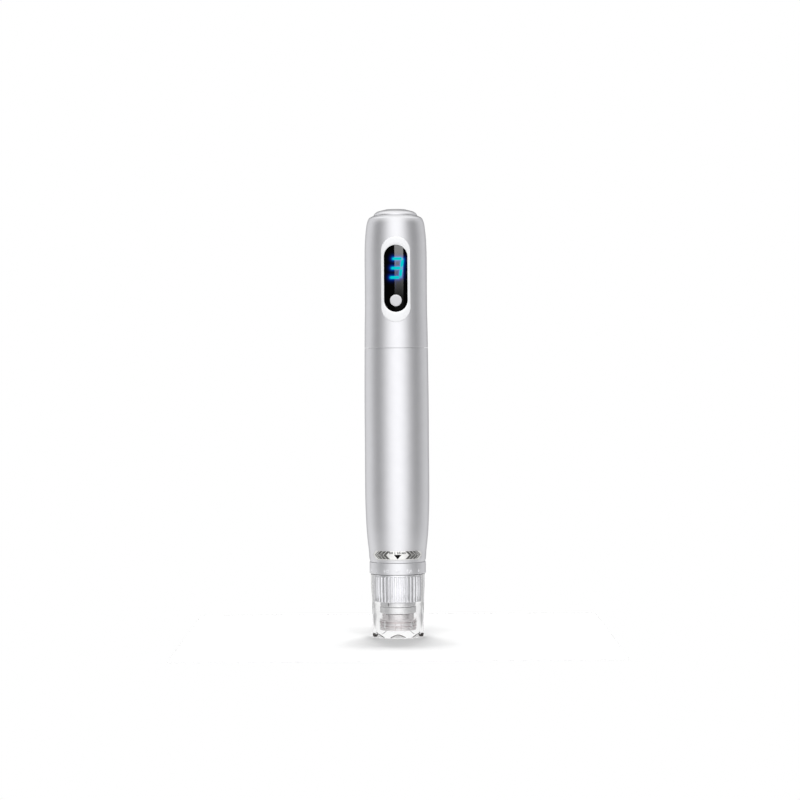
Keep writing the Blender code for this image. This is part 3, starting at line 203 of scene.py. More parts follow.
MARK_STRIP_HALF_WIDTH = 0.0080
MARK_STRIP_POINT = 0.0013
MARK_STRIP_LOW = 0.0009
MARK_STRIP_HIGH = 0.0043
CHEVRON_STROKES = (0.00106, 0.00106, 0.00100, 0.0003)
CHEVRON_FIRST = 0.0029
CHEVRON_PITCH = 0.0013
CHEVRON_HALF_HEIGHT = 0.00148
CHEVRON_TIP = 0.0014
CHEVRON_RISE = 0.0028
POINTER_HALF_WIDTH = 0.00142
POINTER_LOW = 0.0013
POINTER_HIGH = 0.00298
MARK_LIFT = INK_THICKNESS * 3
STRIP_ROWS = 6
STRIP_STEPS = 48
CHEVRON_STEPS = 6
POINTER_STEPS = 8
SEAM_STEPS = 4
CAPTION_SIZE = 0.00112
CAPTION_RISE = 0.00365
NUMERAL_SIZE = 0.0013
BOLDNESS = 0.035
NUMERAL_RISE = 0.0009

# Depth scale: one number each 24 degrees

DEPTH_STEP = 0.25
DEPTH_COUNT = 11
REST_DEPTH_STEPS = 2
DEPTH_TURN = math.radians(24)

# Meshes


def added(name, data):
    """A new object in the scene."""
    made = bpy.data.objects.new(name, data)
    bpy.context.scene.collection.objects.link(made)
    return made


def new_object(name, bm):
    mesh = bpy.data.meshes.new(name)
    bm.to_mesh(mesh)
    bm.free()
    return added(name, mesh)


def node_span(node):
    """A round node's lowest height, highest height and outer radius."""
    low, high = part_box(node)
    return low.z, high.z, high.x


def curve_through(points, steps=CURVE_STEPS):
    """A Catmull-Rom curve through the points."""
    ends = [points[0], *points, points[-1]]
    curve = []
    for before, first, second, after in zip(ends, ends[1:], ends[2:], ends[3:]):
        for step in range(steps):
            t = step / steps
            point = []
            for a, b, c, d in zip(before, first, second, after):
                bend = (2 * a - 5 * b + 4 * c - d) * t**2 + (3 * b - a - 3 * c + d) * t**3
                point.append(0.5 * (2 * b + (c - a) * t + bend))
            curve.append(tuple(point))
    curve.append(points[-1])
    return curve


def rounded(outline, radius):
    """A closed outline with each corner sharper than the fillet angle rounded off."""
    points = [Vector(p) for p in outline]
    result = []
    for before, corner, after in zip(points[-1:] + points[:-1], points, points[1:] + points[:1]):
        into = corner - before
        out = after - corner
        turn = into.angle(out, 0.0)
        if turn < FILLET_ANGLE:
            result.append(tuple(corner))
            continue
        reach = min(radius * math.tan(turn / 2), into.length * FILLET_REACH, out.length * FILLET_REACH)
        start = corner - into.normalized() * reach
        end = corner + out.normalized() * reach
        for step in range(FILLET_STEPS + 1):
            t = step / FILLET_STEPS
            point = start * (1 - t) ** 2 + corner * 2 * t * (1 - t) + end * t**2
            result.append(tuple(point))
    return result


def lathe(outline, segments=PLAIN_SEGMENTS):
    """A closed outline of (radius, height) points revolved about Z. A radius of 0 is on the axis."""
    bm = bmesh.new()
    rings = []
    for radius, height in outline:
        if radius == 0:
            rings.append([bm.verts.new((0, 0, height))])
            continue
        rings.append([bm.verts.new((x, y, height)) for x, y in circle(radius, segments)])
    for ring, following in zip(rings, rings[1:] + rings[:1]):
        for i in range(segments):
            corners = [
                ring[i % len(ring)],
                ring[(i + 1) % len(ring)],
                following[(i + 1) % len(following)],
                following[i % len(following)],
            ]
            corners = list(dict.fromkeys(corners))
            if len(corners) > 2:
                bm.faces.new(corners)
    bmesh.ops.recalc_face_normals(bm, faces=bm.faces)
    return bm


def skin(bm, loops, closed=False):
    """Faces between loops of as many points. A closed skin joins the last loop to the first."""
    rings = [[bm.verts.new(p) for p in loop] for loop in loops]
    pairs = list(zip(rings, rings[1:]))
    if closed:
        pairs.append((rings[-1], rings[0]))
    for ring, following in pairs:
        count = len(ring)
        for i in range(count):
            j = (i + 1) % count
            bm.faces.new((ring[i], ring[j], following[j], following[i]))
    if not closed:
        bm.faces.new(rings[0])
        bm.faces.new(rings[-1])
    bmesh.ops.recalc_face_normals(bm, faces=bm.faces)
    return bm


def prism_along_y(outline, low, high):
    """An (x, z) outline extruded along Y."""
    return skin(bmesh.new(), [[(x, level, z) for x, z in outline] for level in (low, high)])


def circle(radius, segments, middle=(0.0, 0.0)):
    return [
        (
            middle[0] + radius * math.cos(math.tau * i / segments),
            middle[1] + radius * math.sin(math.tau * i / segments),
        )
        for i in range(segments)
    ]


def stadium(half_width, run, middle):
    """An upright stadium in X and Z: two half circles joined by straight sides of twice the run."""
    points = []
    for side in (1, -1):
        for i in range(ARC_STEPS):
            angle = math.pi * i / ARC_STEPS
            rise = run + half_width * math.sin(angle)
            points.append((side * half_width * math.cos(angle), middle + side * rise))
        for i in range(SIDE_STEPS):
            points.append((-side * half_width, middle + side * run * (1 - 2 * i / SIDE_STEPS)))
    return points


def cut(target, bm, operation="DIFFERENCE"):
    """Applies a Boolean with a helper mesh, and removes the helper."""
    helper = new_object(f"{target.name}_helper", bm)
    modifier = target.modifiers.new("Cut", "BOOLEAN")
    modifier.operation = operation
    modifier.solver = "EXACT"
    modifier.object = helper
    graph = bpy.context.evaluated_depsgraph_get()
    mesh = bpy.data.meshes.new_from_object(target.evaluated_get(graph))
    target.modifiers.remove(modifier)
    target.data = mesh
    bpy.data.objects.remove(helper)


def place(piece, look, body, slot, *nodes):
    """Gives a finished piece its material and body, and hides the nodes that it stands for. The slot is not
    used.
    """
    piece.data.materials.clear()
    piece.data.materials.append(look)
    piece.data.shade_smooth()
    piece.data.set_sharp_from_angle(angle=SHARP_ANGLE)
    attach(piece, body)
    if nodes:
        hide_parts(*nodes)
    return piece


# Materials

WHITE = (1.0, 1.0, 1.0, 1.0)
MOTTLE_STOPS = (0.35, 0.65)
GRAIN_SPAN = (0.3, 0.7)
GLOSS_SPREAD = 0.12
GLOW_STOPS = [
    (0.0, (0.0, 0.0, 0.0)),
    (0.45, (0.0, 0.010, 0.13)),
    (0.86, (0.0, 0.07, 0.38)),
    (1.0, (0.0, 0.26, 0.50)),
]


def feed(tree, node, inputs):
    """Gives a node's inputs their values, or links them to the sockets given."""
    for key, value in inputs.items():
        if isinstance(value, bpy.types.NodeSocket):
            tree.links.new(value, node.inputs[key])
        else:
            node.inputs[key].default_value = value
    return node


def add_node(tree, kind, **inputs):
    """A new node, with its inputs fed. A space in an input's name is written as an underscore."""
    return feed(tree, tree.nodes.new(kind), {name.replace("_", " "): value for name, value in inputs.items()})


def noise(tree, size, detail):
    """A noise in object space whose features are about size across."""
    spot = add_node(tree, "ShaderNodeTexCoord").outputs["Object"]
    return add_node(tree, "ShaderNodeTexNoise", Vector=spot, Scale=1 / size, Detail=detail).outputs["Fac"]


def ramped(tree, value, span, ends, curve="SMOOTHSTEP"):
    """A value taken from a span to two ends, and held there."""
    node = add_node(tree, "ShaderNodeMapRange", Value=value, From_Min=span[0], From_Max=span[1])
    feed(tree, node, {"To Min": ends[0], "To Max": ends[1]})
    node.interpolation_type = curve
    return node.outputs["Result"]


def colour_ramp(tree, value, stops, interpolation="LINEAR"):
    """The colour for a value between stops. Each stop is a position and a colour."""
    node = add_node(tree, "ShaderNodeValToRGB", Fac=value)
    node.color_ramp.interpolation = interpolation
    elements = node.color_ramp.elements
    while len(elements) < len(stops):
        elements.new(0.5)
    for element, (position, _) in zip(elements, stops):
        element.position = position
    for element, (_, colour) in zip(elements, stops):
        element.color = (*colour, 1.0)
    return node.outputs["Color"]


def mixed(tree, share, first, second):
    """A mix of two shaders, by the share of the second."""
    node = feed(tree, tree.nodes.new("ShaderNodeMixShader"), {0: share, 1: first, 2: second})
    return node.outputs["Shader"]


def surface(
    name, colour, roughness, metallic=0.0, mottle=0.03, mottle_size=0.004, grain=0.0001, bump=0.02, **more
):
    """A Principled material with a slight mottle, uneven gloss and a fine grain."""
    made = bpy.data.materials.new(name)
    made.use_nodes = True
    tree = made.node_tree
    cloud = noise(tree, mottle_size, 3.0)
    fine = noise(tree, grain, 2.0)
    tones = [tuple(min(1.0, c * (1 + change)) for c in colour) for change in (-mottle, mottle)]
    gloss = (roughness * (1 - GLOSS_SPREAD), roughness * (1 + GLOSS_SPREAD))
    relief = add_node(tree, "ShaderNodeBump", Strength=bump, Distance=grain, Height=fine)
    inputs = {
        "Base Color": colour_ramp(tree, cloud, list(zip(MOTTLE_STOPS, tones))),
        "Roughness": ramped(tree, fine, GRAIN_SPAN, gloss, "LINEAR"),
        "Normal": relief.outputs["Normal"],
        "Metallic": metallic,
    }
    inputs.update({name.replace("_", " "): value for name, value in more.items()})
    feed(tree, tree.nodes["Principled BSDF"], inputs)
    made.diffuse_color = (*colour, 1.0)
    return made


def lets_lamps_through(made):
    """Clear plastic throws no hard shadow: shadow rays pass it."""
    tree = made.node_tree
    path = add_node(tree, "ShaderNodeLightPath")
    clear = add_node(tree, "ShaderNodeBsdfTransparent", Color=WHITE)
    solid = tree.nodes["Principled BSDF"].outputs["BSDF"]
    looks = mixed(tree, path.outputs["Is Shadow Ray"], solid, clear.outputs["BSDF"])
    feed(tree, tree.nodes["Material Output"], {"Surface": looks})


def glow_material(name):
    """Black gloss lens, with the light that spreads in it round the lit digit."""
    made = surface(name, (0.0001, 0.0001, 0.0001), 0.05, mottle=0.1, bump=0.002, Specular_IOR_Level=0.012)
    tree = made.node_tree
    read = add_node(tree, "ShaderNodeAttribute")
    read.attribute_name = "glow"
    glow = colour_ramp(tree, read.outputs["Fac"], GLOW_STOPS)
    feed(tree, tree.nodes["Principled BSDF"], {"Emission Color": glow, "Emission Strength": 1.0})
    return made


satin = surface("satin_silver", (0.795, 0.795, 0.813), 0.33, 1.0, mottle=0.012, grain=0.00012, bump=0.05)
ring_satin = surface("ring_silver", (0.85, 0.85, 0.868), 0.40, 1.0, mottle=0.012, grain=0.00012, bump=0.04)
bright = surface("bright_aluminium", (0.70, 0.70, 0.71), 0.22, 1.0, mottle=0.02)
steel = surface("steel", (0.50, 0.50, 0.51), 0.28, 1.0, mottle=0.04)
brass = surface("brass", (0.66, 0.47, 0.17), 0.28, 1.0, mottle=0.05)
white_gloss = surface("white_bezel", (0.86, 0.865, 0.875), 0.2, mottle=0.006, bump=0.004)
button_pale = surface("button_white", (0.64, 0.64, 0.66), 0.30, mottle=0.01, bump=0.01)
white_plastic = surface("white_plastic", (0.86, 0.865, 0.87), 0.30, mottle=0.01, Subsurface_Weight=0.2)
grip_silver = surface("grip_grey", (0.90, 0.90, 0.92), 0.18, 0.9, mottle=0.01, bump=0.02)
black_plastic = surface("black_plastic", (0.02, 0.02, 0.021), 0.42)
natural_plastic = surface("natural_plastic", (0.78, 0.76, 0.69), 0.42)
rubber = surface("rubber", (0.03, 0.03, 0.03), 0.75, bump=0.1)
silicone = surface("silicone", (0.78, 0.78, 0.80), 0.5, Transmission_Weight=0.4)
board_green = surface("board", (0.02, 0.15, 0.06), 0.4, mottle=0.25, mottle_size=0.0009)
cell_blue = surface("cell_wrap", (0.04, 0.12, 0.45), 0.32, mottle=0.03)
red_wire = surface("red_wire", (0.45, 0.02, 0.02), 0.45)
black_wire = surface("black_wire", (0.015, 0.015, 0.015), 0.45)
module_black = surface("lit_digit", (0.012, 0.012, 0.014), 0.4)
clear_cap = surface(
    "clear_cap", (0.994, 0.994, 0.995), 0.02, mottle=0.002, bump=0.002, IOR=1.46, Transmission_Weight=1.0
)
lets_lamps_through(clear_cap)
# Painted shade: dark materials along the cap's crown edge and on its side feet
rim_painted_shade = surface("rim_painted_shade", (0.02, 0.015, 0.013), 0.25, mottle=0.05, IOR=1.46, Transmission_Weight=0.4)
lets_lamps_through(rim_painted_shade)
foot_painted_shade = surface("foot_painted_shade", (0.03, 0.022, 0.019), 0.5, mottle=0.05, Specular_IOR_Level=0.15)
lets_lamps_through(foot_painted_shade)
clear_plastic = surface(
    "clear_plastic", (0.98, 0.95, 0.95), 0.2, 0.5, mottle=0.01, IOR=1.48, Transmission_Weight=0.4
)
lets_lamps_through(clear_plastic)
smoky = surface("smoky_plastic", (0.60, 0.54, 0.54), 0.25, 0.9, mottle=0.05)
milky = surface("milky_plastic", (0.998, 0.998, 0.998), 0.36, 0.74, mottle=0.002, IOR=1.45)
seam_grey = surface("seam_grey", (0.16, 0.15, 0.15), 0.5, mottle=0.05, Specular_IOR_Level=0.2)
grey_ink = surface("grey_ink", (0.14, 0.14, 0.132), 0.6, mottle=0.1, Specular_IOR_Level=0.1)
black_ink = surface("black_ink", (0.003, 0.003, 0.003), 0.6, Specular_IOR_Level=0.1)
pale_ink = surface("pale_ink", (0.93, 0.93, 0.95), 0.5, mottle=0.02)
strip_ink = surface("strip_ink", (0.95, 0.95, 0.925), 0.42, 0.8, mottle=0.01)
lens_black = glow_material("black_lens")
lit_segment = surface(
    "lit_segment",
    (0.0, 0.01, 0.012),
    0.3,
    Specular_IOR_Level=0.02,
    Emission_Color=(0.0, 0.58, 0.61, 1.0),
    Emission_Strength=1.0,
)

# Shapes of the outside

barrel_low, barrel_high, _ = node_span("barrel")
head_low, head_high, _ = node_span("head_housing")
tail_low, tail_high, _ = node_span("tail_cap")
seam_middle = (barrel_high + head_low) / 2


def sized(shares, radius, low, high):
    """Points of (radius, height) from shares of a length and of a radius."""
    return [(radius * r, low + (high - low) * z) for z, r in shares]


barrel_curve = curve_through(sized(BARREL_OUTLINE_SHARES, BODY_RADIUS, barrel_low, barrel_high))
head_curve = curve_through(sized(HEAD_OUTLINE_SHARES, BODY_RADIUS, head_low, head_high))


def radius_on(curve):
    """A function that gives the outside's radius at a height."""

    def at(height):
        for (r0, z0), (r1, z1) in zip(curve, curve[1:]):
            if height <= z1:
                return r0 + (r1 - r0) * (height - z0) / (z1 - z0)
        return curve[-1][0]

    return at


barrel_radius = radius_on(barrel_curve)
head_radius = radius_on(head_curve)


def facing(radius_at, x, z, lift):
    """The point of a round surface that lies straight behind (x, z), seen along Y."""
    return Vector((x, -math.sqrt((radius_at(z) + lift) ** 2 - x * x), z))


def barrel_shell():
    main_bore = barrel_curve[-1][0] - BARREL_WALL
    mouth_bore = barrel_curve[0][0] - MOUTH_WALL
    lip_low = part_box("depth_ring")[1].z - LIP_ROOM
    lip_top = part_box("depth_ring")[1].z
    foot = barrel_low - FOOT_DROP
    top = seam_middle - SEAM
    outline = [(barrel_curve[0][0], foot), *barrel_curve[1:-1], (barrel_curve[-1][0], top)]
    outline += [(main_bore, top), (main_bore, lip_top), (mouth_bore + LIP_STEP, lip_top)]
    outline += [(mouth_bore + LIP_STEP, lip_low), (mouth_bore, lip_low), (mouth_bore, foot)]
    shell = new_object("barrel_shell", lathe(rounded(outline, SHELL_FILLET), FINE_SEGMENTS))
    place(shell, satin, "handle", "satin_silver", "barrel")


def head_shell():
    main_bore = barrel_curve[-1][0] - BARREL_WALL
    collar_bore = head_curve[-1][0] - COLLAR_WALL
    shoulder = BODY_RADIUS * HEAD_OUTLINE_SHARES[HEAD_SHOULDER][1] - HEAD_TAPER_WALL
    roof = head_high - ROOF_THICKNESS
    bend = head_low + (head_high - head_low) * HEAD_OUTLINE_SHARES[HEAD_BEND][0]
    outline = [(head_curve[0][0], seam_middle + SEAM), *head_curve[1:]]
    outline += [(collar_bore, head_high), (collar_bore, roof), (shoulder, roof), (main_bore, bend)]
    outline += [(main_bore, seam_middle + SEAM)]
    shell = new_object("head_shell", lathe(rounded(outline, SHELL_FILLET), FINE_SEGMENTS))
    opening = stadium(BEZEL_WIDTH / 2 + FINE_SEAM, bezel_run, display_middle + BEZEL_SHIFT)
    cut(shell, prism_along_y(opening, -CUT_REACH, 0))
    place(shell, satin, "handle", "satin_silver", "head_housing")


def tail_shell():
    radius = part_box("tail_cap")[1].x
    foot = head_high + SEAM
    dome = curve_through(sized(TAIL_OUTLINE_SHARES, radius, foot, tail_high))
    collar_bore = head_curve[-1][0] - COLLAR_WALL
    stem = collar_bore - SEAM * 2
    bore = stem - TAIL_STEM_WALL
    underside = tail_high - TAIL_TOP_THICKNESS
    groove_low = tail_low + TAIL_GROOVE_RISE - TAIL_GROOVE_HEIGHT / 2
    groove_high = groove_low + TAIL_GROOVE_HEIGHT
    outline = [*dome, (JACK_RADIUS, tail_high), (JACK_RADIUS, underside), (bore, underside), (bore, tail_low)]
    outline += [(stem, tail_low), (stem, groove_low), (stem - TAIL_GROOVE_DEPTH, groove_low)]
    outline += [(stem - TAIL_GROOVE_DEPTH, groove_high), (stem, groove_high), (stem, foot)]
    cap = new_object("tail_shell", lathe(rounded(outline, SMALL_FILLET), FINE_SEGMENTS))
    place(cap, satin, "handle", "satin_silver", "tail_cap")


# Display

bezel_low, bezel_high = (corner.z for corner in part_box("display_bezel"))
display_middle = (bezel_low + bezel_high) / 2
window_run = (WINDOW_HEIGHT - WINDOW_WIDTH) / 2
bezel_run = (BEZEL_HEIGHT - BEZEL_WIDTH) / 2
button_height = display_middle - WINDOW_HEIGHT / 2 + BUTTON_FROM_WINDOW_END
digit_middle = display_middle + DIGIT_RISE


def on_lens(x, z, lift):
    """A point on the lens, which is a straight slice of a tube."""
    return facing(lambda height: BODY_RADIUS * LENS_SHARE, x, z, lift)


def bezel():
    loops = []
    front = curve_through(BEZEL_PROFILE_SHARES, BEZEL_STEPS)
    profile = [(across, rise * BEZEL_PROUD) for across, rise in front]
    profile = [(0.0, -BEZEL_THICKNESS), *profile, (1.0, -BEZEL_THICKNESS)]
    for across, lift in profile:
        half = BEZEL_WIDTH / 2 + (WINDOW_WIDTH - BEZEL_WIDTH) / 2 * across
        run = bezel_run + (window_run - bezel_run) * across
        outline = stadium(half, run, display_middle + BEZEL_SHIFT * (1 - across))
        loops.append([facing(head_radius, x, z, lift) for x, z in outline])
    ring = new_object("bezel_ring", skin(bmesh.new(), loops, closed=True))
    place(ring, white_gloss, "handle", "white_bezel", "display_bezel")


def segment_centres():
    """Centre, and whether it stands, of each lit segment of a 3."""
    rise = SEGMENT_REACH * SEGMENT_RISE_SHARE
    spots = [(0.0, level * rise * 2, False) for level in (-1, 0, 1)]
    return spots + [(SEGMENT_REACH, level * rise, True) for level in (-1, 1)]


def slanted(x, z):
    return (x + z * DIGIT_SLANT + DIGIT_SHIFT, digit_middle + z)


def digit():
    """The lit segments: thin lit bars with pointed ends, just under the lens."""
    for number, (x, z, standing) in enumerate(segment_centres(), start=1):
        long = SEGMENT_HALF_LENGTH * (STANDING_SHARE if standing else 1.0)
        bars = bmesh.new()
        rows = []
        for step in range(SEGMENT_STEPS + 1):
            along = long * (2 * step / SEGMENT_STEPS - 1)
            wide = min(SEGMENT_HALF_WIDTH, (long - abs(along)) * SEGMENT_POINT + INK_THICKNESS)
            row = []
            for across in (-1.0, -0.5, 0.0, 0.5, 1.0):
                spot = (across * wide, along) if standing else (along, across * wide)
                u, v = slanted(x + spot[0], z + spot[1])
                row.append(bars.verts.new((u, 0.0, v)))
            rows.append(row)
        for row, following in zip(rows, rows[1:]):
            for i in range(len(row) - 1):
                bars.faces.new((row[i], row[i + 1], following[i + 1], following[i]))
        printed(
            f"digit_segment_{number}",
            bars,
            lit_segment,
            "handle",
            "lit_digit",
            lambda u, v: on_lens(u, v, INK_THICKNESS - WINDOW_RECESS),
        )


def glow_at(point):
    """How brightly the lens glows at a point: light that spreads from the nearest lit segment."""
    nearest = 1.0
    for x, z, standing in segment_centres():
        half = SEGMENT_HALF_LENGTH * GLOW_RUN_SHARE
        ends = ((0.0, -half), (0.0, half)) if standing else ((-half, 0.0), (half, 0.0))
        (x0, z0), (x1, z1) = (slanted(x + a, z + b) for a, b in ends)
        run = Vector((x1 - x0, z1 - z0))
        away = Vector((point.x - x0, point.z - z0))
        along = max(0.0, min(1.0, away.dot(run) / run.length_squared))
        nearest = min(nearest, (away - run * along).length)
    return math.exp(-((max(0.0, nearest - SEGMENT_HALF_WIDTH) / GLOW_RADIUS) ** GLOW_POWER))


def lens():
    half = WINDOW_WIDTH / 2 - SEAM
    levels = [(share, -WINDOW_THICKNESS) for share in (*LENS_BACK_SHARES, 1.0)] + [(1.0, -LENS_EDGE)]
    levels += [(1 - (i + WINDOW_FIRST_LOOP) / WINDOW_LOOPS, -WINDOW_RECESS) for i in range(WINDOW_LOOPS)]
    loops = []
    for share, lift in levels:
        outline = stadium(half * share, window_run, display_middle)
        loops.append([on_lens(x, z, lift) for x, z in outline])
    lens_piece = new_object("display_lens", skin(bmesh.new(), loops))
    hole = circle(BUTTON_HOLE, PLAIN_SEGMENTS, (0.0, button_height))
    cut(lens_piece, prism_along_y(hole, -CUT_REACH, 0))
    glow = lens_piece.data.attributes.new("glow", "FLOAT", "POINT")
    for vertex, value in zip(lens_piece.data.vertices, glow.data):
        value.value = glow_at(vertex.co)
    return place(lens_piece, lens_black, "handle", "black_lens", "display_window")


def button_cap():
    low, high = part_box("power_button")
    flange = high.x
    face = -low.y
    back = -high.y
    radius = BUTTON_HOLE - SEAM * 2
    rim = face - BUTTON_DOME
    flange_front = back + (face - back) * BUTTON_FLANGE_SHARE
    edge, crown = (BUTTON_DOME * share for share in BUTTON_DOME_SHARES)
    dome = [(radius, -BUTTON_FILLET), (radius, 0.0), (radius - BUTTON_FILLET, edge)]
    dome += [(radius / 2, crown), (0.0, BUTTON_DOME)]
    profile = [(0.0, back), (flange, back), (flange, flange_front), (radius, flange_front)]
    bm = lathe(profile + curve_through([(r, rim + rise) for r, rise in dome], BUTTON_STEPS))
    for vertex in bm.verts:
        x, y, z = vertex.co
        vertex.co = (x, -z, button_height + y)
    bmesh.ops.recalc_face_normals(bm, faces=bm.faces)
    cap = new_object("button_cap", bm)
    place(cap, button_pale, "button", "button_white", "power_button")


# Depth ring, with the helical slot for the guide pin

RING_TRAVEL = math.radians(240)
MAX_DEPTH = 0.0025
REST_DEPTH = 0.0005
PIN_ROOM = 0.00095
SLOT_STEPS = 48
SLOT_REACH = 0.0012
RING_BAND_HEIGHT = 0.0037
RING_LIP_HEIGHT = 0.0037
SKIRT_GAP = 0.0003
SKIRT_WALL = 0.0008


def helix_slot(inner, outer, middle, play):
    """The space that the guide pin sweeps through the skirt as the ring turns."""
    rise = MAX_DEPTH / RING_TRAVEL
    first = -RING_TRAVEL * (1 - REST_DEPTH / MAX_DEPTH) - play
    last = RING_TRAVEL * REST_DEPTH / MAX_DEPTH + play
    loops = []
    for step in range(SLOT_STEPS + 1):
        turn = first + (last - first) * step / SLOT_STEPS
        height = middle + rise * turn
        angle = math.pi / 2 + turn
        corners = ((inner, -PIN_ROOM), (outer, -PIN_ROOM), (outer, PIN_ROOM), (inner, PIN_ROOM))
        loops.append([(r * math.cos(angle), r * math.sin(angle), height + z) for r, z in corners])
    return skin(bmesh.new(), loops)


def depth_ring():
    low, lip_top, radius = node_span("depth_ring")
    band_high = low + RING_BAND_HEIGHT + FOOT_DROP
    skirt = barrel_curve[0][0] - MOUTH_WALL - SKIRT_GAP
    bore = skirt - SKIRT_WALL
    lip = skirt + LIP_STEP
    lip_low = lip_top - RING_LIP_HEIGHT
    foot = low - RING_DROP
    outline = [(bore, foot), (radius, foot), (radius, band_high), (skirt, band_high), (skirt, lip_low)]
    outline += [(lip, lip_low), (lip, lip_top), (bore, lip_top)]
    ring = new_object("depth_ring_shell", lathe(rounded(outline, RING_FILLET), FINE_SEGMENTS))
    pin_low, pin_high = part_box("guide_pin")
    middle = (pin_low.z + pin_high.z) / 2
    cut(ring, helix_slot(bore - SLOT_REACH / 2, skirt + SLOT_REACH / 2, middle, PIN_ROOM / bore))
    place(ring, ring_satin, "ring", "ring_silver", "depth_ring")


# Marks


def flat_text(words, size):
    """The outline of plain figures as a flat mesh, centred on the origin."""
    curve = bpy.data.curves.new("figures", "FONT")
    curve.body = words
    curve.size = size
    curve.offset = size * BOLDNESS
    curve.align_x = "CENTER"
    curve.align_y = "CENTER"
    holder = added("figures", curve)
    graph = bpy.context.evaluated_depsgraph_get()
    mesh = bpy.data.meshes.new_from_object(holder.evaluated_get(graph))
    bm = bmesh.new()
    bm.from_mesh(mesh)
    bmesh.ops.remove_doubles(bm, verts=bm.verts, dist=size * WELD_SHARE)
    bpy.data.objects.remove(holder)
    bpy.data.meshes.remove(mesh)
    return bm


def printed(name, bm, look, body, slot, wrap):
    """A flat (x, z) mesh wrapped on a surface as a thin layer of ink."""
    for vertex in bm.verts:
        vertex.co = wrap(vertex.co.x, vertex.co.z)
    ink = new_object(name, bm)
    layer = ink.modifiers.new("Ink", "SOLIDIFY")
    layer.thickness = INK_THICKNESS * 2
    layer.offset = 0.0
    place(ink, look, body, slot)
    return ink


def flat_grid(bm, corners, steps):
    """A quad in X and Z between four corners, split along its first side."""
    (x0, z0), (x1, z1), (x2, z2), (x3, z3) = corners
    rows = []
    for step in range(steps + 1):
        t = step / steps
        rows.append(
            (
                bm.verts.new((x0 + (x1 - x0) * t, 0.0, z0 + (z1 - z0) * t)),
                bm.verts.new((x3 + (x2 - x3) * t, 0.0, z3 + (z2 - z3) * t)),
            )
        )
    for (a, b), (c, d) in zip(rows, rows[1:]):
        bm.faces.new((a, c, d, b))


def barrel_marks():
    low = barrel_low

    def on_barrel(lift):
        return lambda x, z: facing(barrel_radius, x, z, lift)

    strip = bmesh.new()
    wide = MARK_STRIP_HALF_WIDTH
    tall = MARK_STRIP_HIGH - MARK_STRIP_LOW
    levels = [low + MARK_STRIP_LOW + tall * i / STRIP_ROWS for i in range(STRIP_ROWS + 1)]
    middle = low + CHEVRON_RISE
    for bottom, top in zip(levels, levels[1:]):
        below, above = (wide + MARK_STRIP_POINT * (1 - abs(z - middle) * 2 / tall) for z in (bottom, top))
        flat_grid(strip, [(-below, bottom), (below, bottom), (above, top), (-above, top)], STRIP_STEPS)
    bmesh.ops.remove_doubles(strip, verts=strip.verts, dist=INK_THICKNESS)
    printed("mark_strip", strip, strip_ink, "handle", "satin_silver", on_barrel(INK_THICKNESS))

    chevrons = bmesh.new()
    for side in (-1, 1):
        for i, stroke in enumerate(CHEVRON_STROKES):
            start = CHEVRON_FIRST + CHEVRON_PITCH * i
            for up in (-1, 1):
                end = middle + up * CHEVRON_HALF_HEIGHT
                corners = [
                    (side * start, end),
                    (side * (start + CHEVRON_TIP), middle),
                    (side * (start + CHEVRON_TIP + stroke), middle),
                    (side * (start + stroke), end),
                ]
                flat_grid(chevrons, corners, CHEVRON_STEPS)
    printed("chevron_marks", chevrons, grey_ink, "handle", "satin_silver", on_barrel(MARK_LIFT))

    pointer = bmesh.new()
    top = low + POINTER_HIGH
    tip = low + POINTER_LOW
    corners = [(-POINTER_HALF_WIDTH, top), (POINTER_HALF_WIDTH, top), (0.0, tip), (-SEAM, tip)]
    flat_grid(pointer, corners, POINTER_STEPS)
    printed("pointer_mark", pointer, black_ink, "handle", "satin_silver", on_barrel(MARK_LIFT))

    caption = flat_text("0.0  |  2.5 mm", CAPTION_SIZE)
    for vertex in caption.verts:
        vertex.co = (vertex.co.x, 0.0, low + CAPTION_RISE + vertex.co.y)
    printed("range_figures", caption, black_ink, "handle", "satin_silver", on_barrel(MARK_LIFT))


def ring_numerals():
    low, _, radius = node_span("depth_ring")
    for number in range(DEPTH_COUNT):
        turn = -math.pi / 2 - (number - REST_DEPTH_STEPS) * DEPTH_TURN

        def around(x, z):
            angle = turn + x / radius
            reach = radius + INK_THICKNESS
            return Vector((reach * math.cos(angle), reach * math.sin(angle), z))

        figures = flat_text(f"{number * DEPTH_STEP:g}", NUMERAL_SIZE)
        for vertex in figures.verts:
            vertex.co = (vertex.co.x, 0.0, low + NUMERAL_RISE + vertex.co.y)
        printed(f"depth_figure_{number}", figures, pale_ink, "ring", "ring_silver", around)


# Needle cartridge

RIB_COUNT = 36
RIB_DEPTH = 0.00031
RIB_STEPS = 16
RIB_FLANK = (0.40, 0.82)
RIB_END = 0.0003
RIB_FOOT_SHARES = [(0.0, 0.35), (0.5, 0.8), (1.0, 1.0)]
RIB_TOP_SHARES = [(1.0, 1.0), (0.5, 0.8), (0.0, 0.3)]
GRIP_CORE = 0.0006
GRIP_RIM = 0.0006
GRIP_RIM_WALL = 0.0009
HEAD_WALL = 0.0008
HEAD_DROP = 0.0005
HEAD_BORE = 0.00276
HEAD_STEP = 0.0019
NECK_INSET = 0.0010
TUBE_RADIUS = 0.0034
COLLAR_BORE = 0.0050
FLANGE_FILLET = 0.0002
COLLAR_FILLET = 0.0004
PILLAR_COUNT = 4
PILLAR_WIDTH = 0.0007
HEAD_GROOVE = 0.00024
HEAD_GROOVES = (0.0061, 0.0035)
HEAD_BANDS = ((0.0053, 0.0058), (0.0039, 0.0043))
SEAM_LINE = 0.00022
CARTRIDGE_SEAMS = [
    ("collar_seam", -0.0036, 0.0116, 0.0128, 0.0066, seam_grey),
    ("neck_seam", 0.0035, 0.0070, 0.0082, 0.0059, seam_grey),
    ("head_seam_1", -0.0011, 0.0028, 0.0058, 0.00692, smoky),
    ("head_seam_2", 0.0010, 0.0028, 0.0058, 0.00692, smoky),
]


